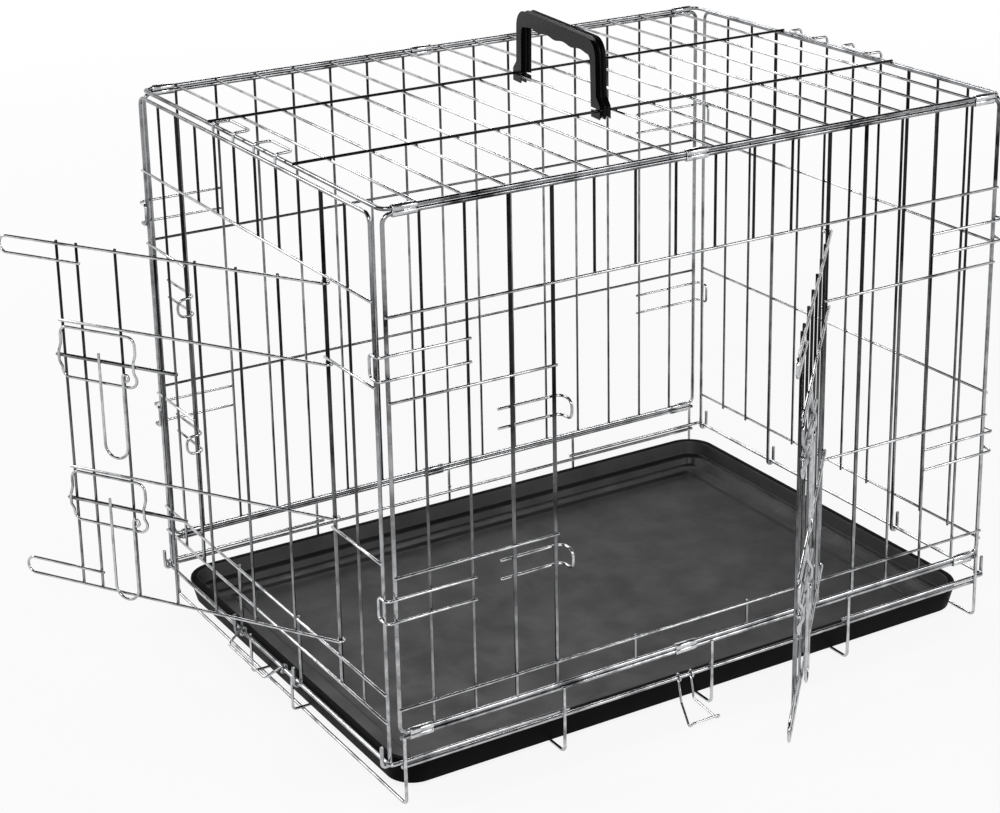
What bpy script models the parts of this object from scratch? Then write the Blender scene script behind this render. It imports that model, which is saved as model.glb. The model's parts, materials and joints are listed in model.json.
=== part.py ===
"""Folding wire dog crate with two doors, a plastic tray and a carry handle. Metres, +Z up.

The front faces -Y, the end with the second door faces -X, and the floor wires touch z = 0.
Front, roof and back are a four-bar box on sleeve clips. The two ends hook on the base and
on the roof, and fold inwards. Both doors stand open as they are shown.
"""
import math

import bmesh
import bpy
from mathutils import Matrix, Vector

# Overall sizes of the wire box, between wire centres
LENGTH = 0.741
DEPTH = 0.547
ROOF_Z = 0.610
RIM_Z = 0.074

# Wire thicknesses
FRAME_WIRE = 0.0045
JAMB_WIRE = 0.0042
END_WIRE = 0.0040
BASE_WIRE = 0.0040
FOOT_WIRE = 0.0035
MESH_WIRE = 0.0030
BOLT_WIRE = 0.0040
CLASP_WIRE = 0.0026

# Clearances
PIECE_GAP = 0.0003
RUNNING_GAP = 0.0004
HINGE_GAP = 0.0005
WELD = 0.00047
RAIL_LAP = 0.0005
FOOT_PRESS = 0.0007

# Uprights: their number and the cell beside each side wire
PANEL_UPRIGHTS = 15
SIDE_CELL = 0.038
END_UPRIGHTS = 10
END_SIDE_CELL = 0.0490
END_INSET = 0.0085
END_OFFSET = 0.008
END_DROP = 0.0045

# Base
LOWER_RAIL_Z = 0.0425
END_RAIL_Z = 0.048
END_RAIL_TAIL = 0.0075
FEET = 5
FOOT_INSET = 0.0025
FOOT_TOP_Z = 0.0758
FLOOR_WIRE_Y = 0.050
FLOOR_WIRE_TOP = 0.0495
HOOK_RISE = 0.018
FRAME_CORNER = 0.009
END_CORNER = 0.010
FOOT_CORNER = 0.007
FLOOR_WIRE_CORNER = 0.004
END_RAIL_CORNER = 0.0045

# Doors and the rails round them, heights from the sill
FRONT_SILL_Z = 0.106
END_SILL_Z = 0.1205
DOOR_HEAD = 0.402
SIDE_RAIL_LOW = 0.140
SIDE_RAIL_HIGH = 0.318
DOOR_RAILS = (0.0165, 0.150, 0.311, 0.393)
DOOR_EDGE_GAP = 0.0225
DOOR_FIRST_CELL = 0.0515
DOOR_UPRIGHTS = 6
DOOR_TIP_PAST = 0.0480
DOOR_TIP_SHORT = 0.0520
DOOR_TIP_WIDTH = 0.018
DOOR_STUB = 0.0025
BOLT_HEIGHTS = (0.115, 0.274)
FRONT_DOOR_ANGLE = 46.6
LEFT_DOOR_ANGLE = 31.8

# Latches, distances back from the jamb on the latch side
BOLT_START = 0.1630
BOLT_END = 0.0135
BRACKET_START = 0.1125
BRACKET_END = 0.0205
BRACKET_TOP = 0.031
BRACKET_BOTTOM = 0.0235
HANDLE_MIDDLE = 0.0845
HANDLE_WIDTH = 0.028
HANDLE_DROP = 0.102
HANDLE_STUB = 0.010
HANDLE_CURL = 0.0036
HANDLE_CURL_DROP = 0.012
BRACKET_CORNER = 0.009
BRACKET_BOW = 0.005
BRACKET_FOOT = 0.013
KEEPER_HALF = 0.010
KEEPER_REACH = 0.016
KEEPER_CORNER = 0.008
KEEPER_PAST_JAMB = 0.010
KEEPER_TAIL = 0.014

# Rails without a door
BACK_RAILS = (0.263, 0.438)
RIGHT_RAILS = (0.0905, 0.267, 0.442)
LEFT_BOTTOM_RAIL = 0.0905

# Corner hooks
HOOK_HALF = 0.0118
HOOK_LENGTH = 0.0875
FRONT_HOOKS = (0.213, 0.4595)
BACK_HOOKS = (0.2325, 0.472)
HOOK_CORNER = 0.005
HOOK_GRIP = 0.004
ROOF_HOOK_RISE = 0.0035
ROOF_HOOK_REACH = 0.019

# Sleeve clips
CLIP_WALL = 0.0010
CLIP_LENGTH = 0.026
CLIP_INSET = 0.0225
CLIP_SEAM = 0.0012
FRONT_MIDDLE_CLIP_X = -0.0325

# Carry handle
BAR_Y = 0.098
GRIP_WIDTH = 0.013
GRIP_TOP = 0.076
GRIP_THICK = 0.018
GRIP_HALF_TOP = 0.092
GRIP_HALF_LEG = 0.094
GRIP_HALF_FOOT = 0.1025
GRIP_LEG = 0.011
GRIP_SPLAY = 0.004
GRIP_CORNER = 0.020
GRIP_FOOT_CORNER = 0.004
GRIP_SHOULDER = 0.014
GRIP_FOOT_RISE = 0.005
FOOT_BELOW_BAR = 0.0075
GRIP_TURN = -5.6
GRIP_SHIFT = -0.0055
SCALLOPS = 4
SCALLOP_DEPTH = 0.0022
MOUTH_SHARE = 0.8
RELIEF_LENGTH = 0.060
RELIEF_DEPTH = 0.012

# Tray
TRAY_INSET_X = 0.001
TRAY_INSET_Y = 0.0095
TRAY_TOP_Z = 0.0370
TRAY_WALL = 0.0022
TRAY_STEP = 0.0115
TRAY_LIP = 0.0028
TRAY_CORNER = 0.036
TRAY_INNER_CORNER = 0.004

# Small wire forms
PAN_STOP_SHARES = (-0.8, 1.3)
PAN_STOP_REACH = 0.021
PAN_STOP_TAPER = 0.005
PAN_STOP_TILT = 30.0
CLASP_X = (-0.0405, -0.0245)
CLASP_TIP_X = (-0.0500, -0.0150)
CLASP_LENGTH = 0.052
CLASP_TILT = 44.0
CLASP_SPREAD = 0.45
CLASP_CORNER = 0.004
CLASP_TIP = (0.0, -0.006, 0.007)
EYE_TURN = 265

# Derived places
HALF_L = LENGTH / 2
HALF_D = DEPTH / 2
PITCH = 2 * (HALF_L - SIDE_CELL) / (PANEL_UPRIGHTS - 1)
END_EDGE_Y = HALF_D - END_INSET
END_PITCH = 2 * (END_EDGE_Y - END_SIDE_CELL) / (END_UPRIGHTS - 1)
FOOT_PITCH = 2 * (HALF_L - FOOT_INSET) / (FEET - 1)
CLIP_CENTRES = (CLIP_INSET - HALF_L, -PITCH / 2, HALF_L - CLIP_INSET)
FRONT_BASE_CLIPS = (CLIP_CENTRES[0], FRONT_MIDDLE_CLIP_X, CLIP_CENTRES[2])
TRAY_HALF_X = HALF_L - TRAY_INSET_X
TRAY_HALF_Y = HALF_D - TRAY_INSET_Y
RAIL_STEP = FRAME_WIRE + HINGE_GAP
PANEL_BOTTOM_Z = RIM_Z + RAIL_STEP
PANEL_TOP_Z = ROOF_Z - RAIL_STEP
OUTER = MESH_WIRE - WELD
END_X = HALF_L + END_OFFSET
END_TOP_Z = ROOF_Z - END_DROP
HOOK_RADIUS = BASE_WIRE / 2 + RUNNING_GAP + END_WIRE / 2
END_RAIL_X = END_X + HOOK_RADIUS
FRONT_JAMBS = (-4 * PITCH, 3 * PITCH)
END_JAMB_Y = 3.5 * END_PITCH
DOOR_LAYER = JAMB_WIRE / 2 + RUNNING_GAP + MESH_WIRE / 2
DOOR_MESH_LAYER = DOOR_LAYER - OUTER
BOLT_LAYER = DOOR_MESH_LAYER + MESH_WIRE / 2 + PIECE_GAP + BOLT_WIRE / 2
OVER_BOLT = BOLT_LAYER + BOLT_WIRE / 2 + PIECE_GAP + MESH_WIRE / 2
BRACKET_LAYER = DOOR_MESH_LAYER + MESH_WIRE + PIECE_GAP
FOOT_FLAT = FOOT_WIRE / 2 * math.cos(math.pi / 6)
FLOOR_WIRE_Z = 2 * FOOT_FLAT + MESH_WIRE / 2 - WELD
TRAY_BOTTOM_Z = FLOOR_WIRE_Z + MESH_WIRE / 2 + PIECE_GAP


def clear_scene():
    for item in list(bpy.data.objects):
        bpy.data.objects.remove(item, do_unlink=True)


def material(name, colour, metallic, roughness):
    made = bpy.data.materials.get(name)
    if made is None:
        made = bpy.data.materials.new(name)
        made.use_nodes = True
        shader = made.node_tree.nodes["Principled BSDF"]
        shader.inputs["Base Color"].default_value = (*colour, 1.0)
        shader.inputs["Metallic"].default_value = metallic
        shader.inputs["Roughness"].default_value = roughness
    return made


def arc(centre, start, axis, degrees, steps):
    """Points from start, turned about an axis through the centre."""
    centre = Vector(centre)
    arm = Vector(start) - centre
    turn = [Matrix.Rotation(math.radians(degrees) * i / steps, 3, Vector(axis)) for i in range(steps + 1)]
    return [centre + m @ arm for m in turn]


def rounded(corners, radius, steps=3, closed=False):
    """A polyline with each corner replaced by an arc of the given radius."""
    points = [Vector(p) for p in corners]
    count = len(points)
    path = []
    for i, here in enumerate(points):
        if not closed and i in (0, count - 1):
            path.append(here)
            continue
        back = (points[i - 1] - here).normalized()
        ahead = (points[(i + 1) % count] - here).normalized()
        half = back.angle(ahead) / 2
        if half > math.radians(89.5):
            path.append(here)
            continue
        room = min((points[i - 1] - here).length, (points[(i + 1) % count] - here).length) / 2
        size = min(radius, room * 0.98 * math.tan(half))
        reach = size / math.tan(half)
        middle = here + (back + ahead).normalized() * (size / math.sin(half))
        first = here + back * reach
        last = here + ahead * reach
        turn = (first - middle).angle(last - middle)
        axis = (first - middle).cross(last - middle).normalized()
        path += arc(middle, first, axis, math.degrees(turn), steps)
    return path


def sweep(mesh, path, diameter, ridge, sides=6, closed=False):
    """Adds a round wire along a path. The ridge direction gets one of its edges."""
    points = [Vector(p) for p in path]
    count = len(points)
    up = Vector(ridge).normalized()
    rings = []
    for i, here in enumerate(points):
        before = points[i - 1] if closed or i else here
        after = points[(i + 1) % count] if closed or i < count - 1 else here
        along = (here - before).normalized() + (after - here).normalized()
        along.normalize()
        up = (up - along * up.dot(along)).normalized()
        side = along.cross(up)
        ring = []
        for k in range(sides):
            a = 2 * math.pi * k / sides
            ring.append(mesh.verts.new(here + (up * math.cos(a) + side * math.sin(a)) * diameter / 2))
        rings.append(ring)
    pairs = list(zip(rings, rings[1:]))
    if closed:
        pairs.append((rings[-1], rings[0]))
    for low, high in pairs:
        for k in range(sides):
            j = (k + 1) % sides
            mesh.faces.new((low[k], low[j], high[j], high[k]))
    if not closed:
        mesh.faces.new(list(reversed(rings[0])))
        mesh.faces.new(rings[-1])


def wire_set(wires):
    """A mesh of wires that don't touch each other. Each is path, diameter, ridge, sides, closed."""
    mesh = bmesh.new()
    for path, diameter, ridge, sides, closed in wires:
        sweep(mesh, path, diameter, ridge, sides, closed)
    bmesh.ops.recalc_face_normals(mesh, faces=mesh.faces)
    return mesh


def place(name, mesh, surface, origin=(0, 0, 0)):
    """An object with its origin at a point of its mesh."""
    data = bpy.data.meshes.new(name)
    mesh.transform(Matrix.Translation(-Vector(origin)))
    mesh.to_mesh(data)
    mesh.free()
    item = bpy.data.objects.new(name, data)
    bpy.context.scene.collection.objects.link(item)
    item.location = origin
    finish(item, surface)
    return item


def hang(item, hinge, turn):
    """Turns an object made in a door's own axes about the vertical and moves it to the hinge."""
    item.location = hinge + Matrix.Rotation(turn, 3, "Z") @ item.location
    item.rotation_euler = (0, 0, turn)


def finish(item, surface, sharp=40):
    item.data.materials.clear()
    item.data.materials.append(surface)
    item.data.shade_smooth()
    item.data.set_sharp_from_angle(angle=math.radians(sharp))


def combine(item, mesh, operation):
    """Joins a mesh to an object, or cuts it out, with a Boolean that is applied at once."""
    data = bpy.data.meshes.new("tool")
    mesh.to_mesh(data)
    mesh.free()
    tool = bpy.data.objects.new("tool", data)
    bpy.context.scene.collection.objects.link(tool)
    tool.matrix_world = item.matrix_world
    change = item.modifiers.new("combine", "BOOLEAN")
    change.operation = operation
    change.solver = "EXACT"
    change.object = tool
    bpy.context.view_layer.update()
    graph = bpy.context.evaluated_depsgraph_get()
    result = bpy.data.meshes.new_from_object(item.evaluated_get(graph))
    item.modifiers.clear()
    item.data = result
    bpy.data.objects.remove(tool, do_unlink=True)


def welded(name, sets, surface, origin=(0, 0, 0)):
    """One solid from several sets of wires that cross each other."""
    shift = Matrix.Translation(-Vector(origin))
    item = place(name, wire_set(sets[0]), surface, origin)
    bpy.context.view_layer.update()
    for wires in sets[1:]:
        mesh = wire_set(wires)
        mesh.transform(shift)
        combine(item, mesh, "UNION")
    finish(item, surface)
    return item


def extruded(outline, along):
    """A closed prism from a planar outline, pushed along a vector."""
    mesh = bmesh.new()
    face = mesh.faces.new([mesh.verts.new(p) for p in outline])
    grown = bmesh.ops.extrude_face_region(mesh, geom=[face])
    moved = [v for v in grown["geom"] if isinstance(v, bmesh.types.BMVert)]
    bmesh.ops.translate(mesh, verts=moved, vec=along)
    bmesh.ops.recalc_face_normals(mesh, faces=mesh.faces)
    return mesh


def box(size, centre):
    mesh = bmesh.new()
    bmesh.ops.create_cube(mesh, size=1.0)
    mesh.transform(Matrix.Translation(centre) @ Matrix.Diagonal((*size, 1)))
    return mesh


def mirrored(point):
    return Vector((point.x, -point.y, point.z))


def upright_positions(count, pitch):
    return [pitch * (i - (count - 1) / 2) for i in range(count)]


def frame_loop(half_width, low, high, to_world):
    """A panel's rounded rectangle of thick wire, with one of its edges turned inwards."""
    corners = [(-half_width, low), (half_width, low), (half_width, high), (-half_width, high)]
    path = rounded([to_world(a, 0, b) for a, b in corners], FRAME_CORNER, 2, closed=True)
    return (path, FRAME_WIRE, (1, 0, 0), 6, True)


def straight(start, end, diameter, ridge, sides=6):
    return ([start, end], diameter, ridge, sides, False)


def front_panel(surface):
    def at(across, out, height):
        return Vector((across, -HALF_D - out, height))

    ridge = (0, -1, 0)
    sill = FRONT_SILL_Z
    head = sill + DOOR_HEAD
    left, right = FRONT_JAMBS
    uprights = []
    for x in upright_positions(PANEL_UPRIGHTS, PITCH):
        beside = min(abs(x - left), abs(x - right)) < PITCH / 4
        next_to = min(abs(x - left + PITCH), abs(x - right - PITCH)) < PITCH / 4
        diameter = JAMB_WIRE if beside or next_to else MESH_WIRE
        inside = left + PITCH / 4 < x < right - PITCH / 4
        low = head - OUTER if inside else PANEL_BOTTOM_Z
        uprights.append(straight(at(x, 0, low), at(x, 0, PANEL_TOP_Z), diameter, ridge))
    third = (right - left) / 7
    for x in (left + 2 * third, right - 2 * third):
        uprights.append(straight(at(x, 0, PANEL_BOTTOM_Z), at(x, 0, sill + OUTER), MESH_WIRE, ridge))
    end = HALF_L + FRAME_WIRE / 2
    jamb = JAMB_WIRE / 2 + RAIL_LAP
    rails = [straight(at(-end, OUTER, z), at(end, OUTER, z), MESH_WIRE, ridge) for z in (sill, head)]
    for z in (sill + SIDE_RAIL_LOW, sill + SIDE_RAIL_HIGH):
        rails.append(straight(at(-end, OUTER, z), at(left + jamb, OUTER, z), MESH_WIRE, ridge))
        rails.append(straight(at(right - jamb, OUTER, z), at(end, OUTER, z), MESH_WIRE, ridge))
    loop = frame_loop(HALF_L, PANEL_BOTTOM_Z, PANEL_TOP_Z, at)
    welded("front_panel", [[loop], uprights, rails], surface, (0, -HALF_D, PANEL_BOTTOM_Z))


def back_panel(surface):
    def at(across, out, height):
        return Vector((across, HALF_D + out, height))

    ridge = (0, 1, 0)
    end = HALF_L + FRAME_WIRE / 2
    uprights = [
        straight(at(x, 0, PANEL_BOTTOM_Z), at(x, 0, PANEL_TOP_Z), MESH_WIRE, ridge)
        for x in upright_positions(PANEL_UPRIGHTS, PITCH)
    ]
    rails = [straight(at(-end, OUTER, z), at(end, OUTER, z), MESH_WIRE, ridge) for z in BACK_RAILS]
    loop = frame_loop(HALF_L, PANEL_BOTTOM_Z, PANEL_TOP_Z, at)
    welded("back_panel", [[loop], uprights, rails], surface, (0, HALF_D, PANEL_BOTTOM_Z))


def roof_panel(surface):
    def at(across, out, along):
        return Vector((across, along, ROOF_Z + out))

    ridge = (0, 0, 1)
    end = HALF_L + FRAME_WIRE / 2
    cross = [
        straight(at(x, 0, -HALF_D), at(x, 0, HALF_D), MESH_WIRE, ridge)
        for x in upright_positions(PANEL_UPRIGHTS, PITCH)
    ]
    bars = [straight(at(-end, OUTER, y), at(end, OUTER, y), MESH_WIRE, ridge) for y in (-BAR_Y, BAR_Y)]
    loop = frame_loop(HALF_L, -HALF_D, HALF_D, at)
    welded("roof_panel", [[loop], cross, bars], surface, (0, HALF_D, PANEL_TOP_Z))


def hooked_upright(at, y, top):
    """An end wire that runs down inside the base rail, under it and up again outside."""
    low = at(y, 0, END_RAIL_Z)
    centre = at(y, HOOK_RADIUS, END_RAIL_Z)
    outward = at(y, 1, END_RAIL_Z) - at(y, 0, END_RAIL_Z)
    axis = Vector((0, 0, -1)).cross(outward)
    bend = arc(centre, low, axis, 180, 4)
    tip = bend[-1] + Vector((0, 0, HOOK_RISE))
    return [at(y, 0, top)] + bend + [tip]


def end_panel(name, side, rails, short_rails, jambs, hooked, hooked_top, surface):
    """An end panel. side is -1 for the left end and 1 for the right end."""
    def at(along, out, height):
        return Vector((side * (END_X + out), along, height))

    ridge = (side, 0, 0)
    near = hooked_upright(at, -END_EDGE_Y, END_TOP_Z)
    far = hooked_upright(at, END_EDGE_Y, END_TOP_Z)
    top = rounded([near[1], near[0], far[0], far[1]], END_CORNER, 4)
    edge = near[:0:-1] + top[1:-1] + far[1:]
    uprights = []
    for y in upright_positions(END_UPRIGHTS, END_PITCH):
        taken = any(abs(j - y) < END_PITCH / 4 for j in hooked)
        if taken and hooked_top == END_TOP_Z:
            continue
        low = rails[0] - MESH_WIRE
        if jambs and abs(y) < jambs[1] - END_PITCH / 4:
            low = rails[-1] - OUTER
        diameter = JAMB_WIRE if jambs and abs(abs(y) - jambs[1]) < END_PITCH / 4 else MESH_WIRE
        uprights.append(straight(at(y, 0, low), at(y, 0, END_TOP_Z), diameter, ridge))
    for y in hooked:
        uprights.append((hooked_upright(at, y, hooked_top), END_WIRE, ridge, 6, False))
    end = END_EDGE_Y + END_WIRE / 2
    cross = [straight(at(-end, OUTER, z), at(end, OUTER, z), MESH_WIRE, ridge) for z in rails]
    for z in short_rails:
        inner = jambs[1] - JAMB_WIRE / 2 - RAIL_LAP
        cross.append(straight(at(-end, OUTER, z), at(-inner, OUTER, z), MESH_WIRE, ridge))
        cross.append(straight(at(inner, OUTER, z), at(end, OUTER, z), MESH_WIRE, ridge))
    sets = [[(edge, END_WIRE, ridge, 6, False)], uprights, cross]
    welded(name, sets, surface, (side * END_RAIL_X, 0, END_RAIL_Z))


def roof_hook(name, side, middle, surface):
    """A sprung loop that stands on an end panel and reaches over the roof's side rail."""
    low = END_TOP_Z + END_WIRE / 2 + PIECE_GAP
    high = ROOF_Z + FRAME_WIRE / 2 + MESH_WIRE / 2 + ROOF_HOOK_RISE
    x = side * END_X
    inner = side * (END_X - ROOF_HOOK_REACH)
    a, b = middle - END_PITCH / 2, middle + END_PITCH / 2
    corners = [(x, a, low), (x, a, high), (inner, a, high), (inner, b, high), (x, b, high), (x, b, low)]
    path = rounded(corners, HOOK_CORNER, 2)
    place(name, wire_set([(path, MESH_WIRE, (side, 0, 0), 6, False)]), surface, (x, middle, low))


def corner_hook(name, side_x, side_y, height, surface):
    """A sprung U that lies on the panel and reaches round the end panel's edge wire."""
    layer = side_y * (HALF_D + FRAME_WIRE / 2 + MESH_WIRE / 2 + PIECE_GAP)
    outside = side_x * (END_X + END_WIRE / 2 + MESH_WIRE / 2 + RUNNING_GAP)
    behind = side_y * (END_EDGE_Y - HOOK_GRIP)
    tail = side_x * (HALF_L - HOOK_LENGTH)
    low, high = height - HOOK_HALF, height + HOOK_HALF
    corners = [
        (tail, layer, low),
        (outside, layer, low),
        (outside, behind, low),
        (outside, behind, high),
        (outside, layer, high),
        (tail, layer, high),
    ]
    path = rounded(corners, HOOK_CORNER, 2)
    mesh = wire_set([(path, MESH_WIRE, (0, 0, 1), 6, False)])
    place(name, mesh, surface, (tail, layer, height))


def base_frame(surface):
    """Rim rails for the clips, lower rails, bent end rails, five foot wires and two floor wires."""
    foot_y = HALF_D + (FRAME_WIRE + FOOT_WIRE) / 2 - FOOT_PRESS
    rim = []
    for y in (-HALF_D, HALF_D):
        rim.append(straight((-HALF_L, y, RIM_Z), (HALF_L, y, RIM_Z), FRAME_WIRE, (0, 1, 0), 6))
        start, end = (-HALF_L, y, LOWER_RAIL_Z), (HALF_L, y, LOWER_RAIL_Z)
        rim.append(straight(start, end, BASE_WIRE, (0, 1, 0), 6))
    for side in (-1, 1):
        inner = side * (FOOT_PITCH - END_RAIL_TAIL)
        x = side * END_RAIL_X
        corners = [(inner, -HALF_D, END_RAIL_Z), (x, -HALF_D, END_RAIL_Z), (x, HALF_D, END_RAIL_Z)]
        corners.append((inner, HALF_D, END_RAIL_Z))
        rim.append((rounded(corners, END_RAIL_CORNER, 2), BASE_WIRE, (0, 1, 0), 6, False))
    feet = []
    for x in upright_positions(FEET, FOOT_PITCH):
        corners = [(x, -foot_y, FOOT_TOP_Z), (x, -foot_y, FOOT_FLAT)]
        corners += [(x, foot_y, FOOT_FLAT), (x, foot_y, FOOT_TOP_Z)]
        feet.append((rounded(corners, FOOT_CORNER, 2), FOOT_WIRE, (1, 0, 0), 6, False))
    floor_x = END_RAIL_X - (BASE_WIRE + MESH_WIRE) / 2 + WELD
    long_wires = []
    for y in (-FLOOR_WIRE_Y, FLOOR_WIRE_Y):
        corners = [(-floor_x, y, FLOOR_WIRE_TOP), (-floor_x, y, FLOOR_WIRE_Z)]
        corners += [(floor_x, y, FLOOR_WIRE_Z), (floor_x, y, FLOOR_WIRE_TOP)]
        long_wires.append((rounded(corners, FLOOR_WIRE_CORNER, 2), MESH_WIRE, (1, 0, 0), 6, False))
    welded("base_frame", [rim, feet, long_wires], surface)


def sleeve_clip(name, x, y, low_rail, seam, surface):
    """A strip of sheet closed round two rails, one above the other, with its seam inside."""
    inner = FRAME_WIRE / 2 + RUNNING_GAP
    outer = inner + CLIP_WALL
    high_rail = low_rail + RAIL_STEP

    def half_round(radius, centre, start, steps=4):
        turns = [math.radians(start + 180 * i / steps) for i in range(steps + 1)]
        return [(radius * math.cos(t), centre + radius * math.sin(t)) for t in turns]

    middle = (low_rail + high_rail) / 2
    outside = half_round(outer, high_rail, 0) + half_round(outer, low_rail, 180)
    inside = half_round(inner, high_rail, 0) + half_round(inner, low_rail, 180)
    start_out, start_in = (outer, middle + CLIP_SEAM / 2), (inner, middle + CLIP_SEAM / 2)
    end_out, end_in = (outer, middle - CLIP_SEAM / 2), (inner, middle - CLIP_SEAM / 2)
    outline = [start_out] + outside + [end_out, end_in] + inside[::-1] + [start_in]
    ring = [(x - CLIP_LENGTH / 2, y + seam * a, b) for a, b in outline]
    place(name, extruded(ring, (CLIP_LENGTH, 0, 0)), surface, (x, y, low_rail))


def keeper(name, at, jamb, tail, height, surface):
    """A wire U behind two uprights, turned out beside the jamb so that the bolt runs through it."""
    inner = -(JAMB_WIRE / 2 + MESH_WIRE / 2 + PIECE_GAP)
    low, high = height - KEEPER_HALF, height + KEEPER_HALF
    corners = [
        at(tail, inner, low),
        at(jamb, inner, low),
        at(jamb, KEEPER_REACH, low),
        at(jamb, KEEPER_REACH, high),
        at(jamb, inner, high),
        at(tail, inner, high),
    ]
    path = rounded(corners, KEEPER_CORNER, 3)
    mesh = wire_set([(path, MESH_WIRE, (0, 0, 1), 6, False)])
    place(name, mesh, surface, at(jamb, inner, height))


def hinge_eye(height, radius):
    """A rail's end, curled round the jamb from its outer side."""
    return arc((0, 0, height), (0, radius, height), (0, 0, 1), 250, 5)


def door(name, opening, sill, surface):
    """A door in its own axes: X from the hinge to the latch side, Y outwards."""
    ridge = (0, 1, 0)
    edge = opening - DOOR_EDGE_GAP
    heights = [sill + z for z in DOOR_RAILS]
    rails = []
    for i, z in enumerate(heights):
        eye = hinge_eye(z, DOOR_LAYER)[::-1]
        if i in (0, 3):
            back = z + DOOR_TIP_WIDTH if i == 0 else z - DOOR_TIP_WIDTH
            middle = (opening + DOOR_TIP_PAST - DOOR_TIP_WIDTH / 2, DOOR_LAYER, (z + back) / 2)
            start = (middle[0], DOOR_LAYER, z)
            round_end = arc(middle, start, (0, -1 if i == 0 else 1, 0), 180, 4)
            run = round_end + [(opening - DOOR_TIP_SHORT, DOOR_LAYER, back)]
        else:
            run = [(edge + MESH_WIRE, DOOR_LAYER, z)]
        rails.append((eye + [Vector(p) for p in run], MESH_WIRE, (0, 0, 1), 6, False))
    spots = [DOOR_FIRST_CELL + PITCH * i for i in range(DOOR_UPRIGHTS)] + [edge]
    low, high = heights[0] - DOOR_STUB, heights[3] + DOOR_STUB
    uprights = [
        straight((x, DOOR_MESH_LAYER, low), (x, DOOR_MESH_LAYER, high), MESH_WIRE, ridge) for x in spots
    ]
    return welded(name, [rails, uprights], surface)


def latch_bracket(name, opening, height, surface):
    """A wire loop on the door whose sides are bowed out over the bolt."""
    low, high = height - BRACKET_BOTTOM, height + BRACKET_TOP
    bow, foot = BRACKET_BOW, BRACKET_FOOT
    layer = BRACKET_LAYER
    start, end = opening - BRACKET_START, opening - BRACKET_END
    outline = [(start, layer, low), (start, layer, high), (end, layer, high), (end, layer, low)]
    bends = rounded(outline, BRACKET_CORNER, 2, closed=True)
    bowed = [(-foot, layer), (-bow, OVER_BOLT), (bow, OVER_BOLT), (foot, layer)]
    rise = [Vector((start, y, height + z)) for z, y in bowed]
    fall = [Vector((end, y, height + z)) for z, y in bowed[::-1]]
    path = bends[:3] + rise + bends[3:9] + fall + bends[9:]
    mesh = wire_set([(path, MESH_WIRE, (1, 0, 0), 6, True)])
    return place(name, mesh, surface, (start, layer, height))


def latch_bolt(name, opening, height, surface):
    start = (opening - BOLT_START, BOLT_LAYER, height)
    end = (opening - BOLT_END, BOLT_LAYER, height)
    return place(name, wire_set([straight(start, end, BOLT_WIRE, (0, 0, 1), 10)]), surface, start)


def latch_handle(name, opening, height, surface):
    """A wire U that hangs from the bolt, with a stub above it on one side and a curl on the other."""
    middle = opening - HANDLE_MIDDLE
    left = middle + HANDLE_WIDTH / 2
    right = middle - HANDLE_WIDTH / 2
    y = OVER_BOLT
    bottom = height - HANDLE_DROP + HANDLE_WIDTH / 2
    leg = [Vector((left, y, height + HANDLE_STUB)), Vector((left, y, bottom))]
    bend = arc((middle, y, bottom), (left, y, bottom), (0, 1, 0), 180, 5)[1:]
    ring_z = height - HANDLE_CURL_DROP
    ring = arc((right - HANDLE_CURL, y, ring_z), (right, y, ring_z), (0, -1, 0), 285, 5)
    mesh = wire_set([(leg + bend + ring, MESH_WIRE, (0, 1, 0), 6, False)])
    return place(name, mesh, surface, (middle, BOLT_LAYER, height))


def door_set(prefix, hinge, turn, opening, sill, surface):
    """A door with two slide bolts, hung on its jamb."""
    pieces = [door(prefix + "_door", opening, sill, surface)]
    for label, rise in zip(("lower", "upper"), BOLT_HEIGHTS):
        height = sill + rise
        pieces.append(latch_bracket(f"{prefix}_bracket_{label}", opening, height, surface))
        pieces.append(latch_bolt(f"{prefix}_bolt_{label}", opening, height, surface))
        pieces.append(latch_handle(f"{prefix}_handle_{label}", opening, height, surface))
    for item in pieces:
        hang(item, hinge, turn)


def tray(surface):
    """A moulded pan: rim, sloping wall, two raised steps and a flat floor.

    The profile is pairs of inset from the outer edge and height, from the underside round the rim.
    """
    base = TRAY_BOTTOM_Z
    floor = base + TRAY_WALL
    step = floor + TRAY_STEP
    lip = floor + TRAY_LIP
    profile = [
        (0.010, base),
        (0.0065, base + 0.002),
        (0.0, TRAY_TOP_Z - 0.004),
        (0.0012, TRAY_TOP_Z),
        (0.0085, TRAY_TOP_Z),
        (0.013, step + 0.001),
        (0.0215, step),
        (0.0265, lip + 0.0007),
        (0.042, lip),
        (0.046, floor),
    ]
    mesh = bmesh.new()
    loops = []
    for inset, z in profile:
        half_x, half_y = TRAY_HALF_X - inset, TRAY_HALF_Y - inset
        corners = [(-half_x, -half_y, z), (half_x, -half_y, z), (half_x, half_y, z), (-half_x, half_y, z)]
        path = rounded(corners, max(TRAY_CORNER - inset, TRAY_INNER_CORNER), 4, closed=True)
        loops.append([mesh.verts.new(p) for p in path])
    for low, high in zip(loops, loops[1:]):
        for i in range(len(low)):
            j = (i + 1) % len(low)
            mesh.faces.new((low[i], low[j], high[j], high[i]))
    mesh.faces.new(loops[0][::-1])
    mesh.faces.new(loops[-1])
    bmesh.ops.recalc_face_normals(mesh, faces=mesh.faces)
    item = place("tray", mesh, surface, (0, 0, base))
    finish(item, surface, 25)


def wrapped_bail(pivots, axis, arm, eye_radius, tip_points):
    """A wire with an eye round a rail at each end and arms that run out to its tip points."""
    eyes = []
    for pivot in pivots:
        pivot = Vector(pivot)
        side = Vector(axis).cross(Vector(arm)).normalized()
        start = pivot + side * eye_radius
        eyes.append(arc(pivot, start, axis, EYE_TURN, 6)[::-1])
    return eyes[0] + [Vector(p) for p in tip_points] + eyes[1][::-1]


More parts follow.
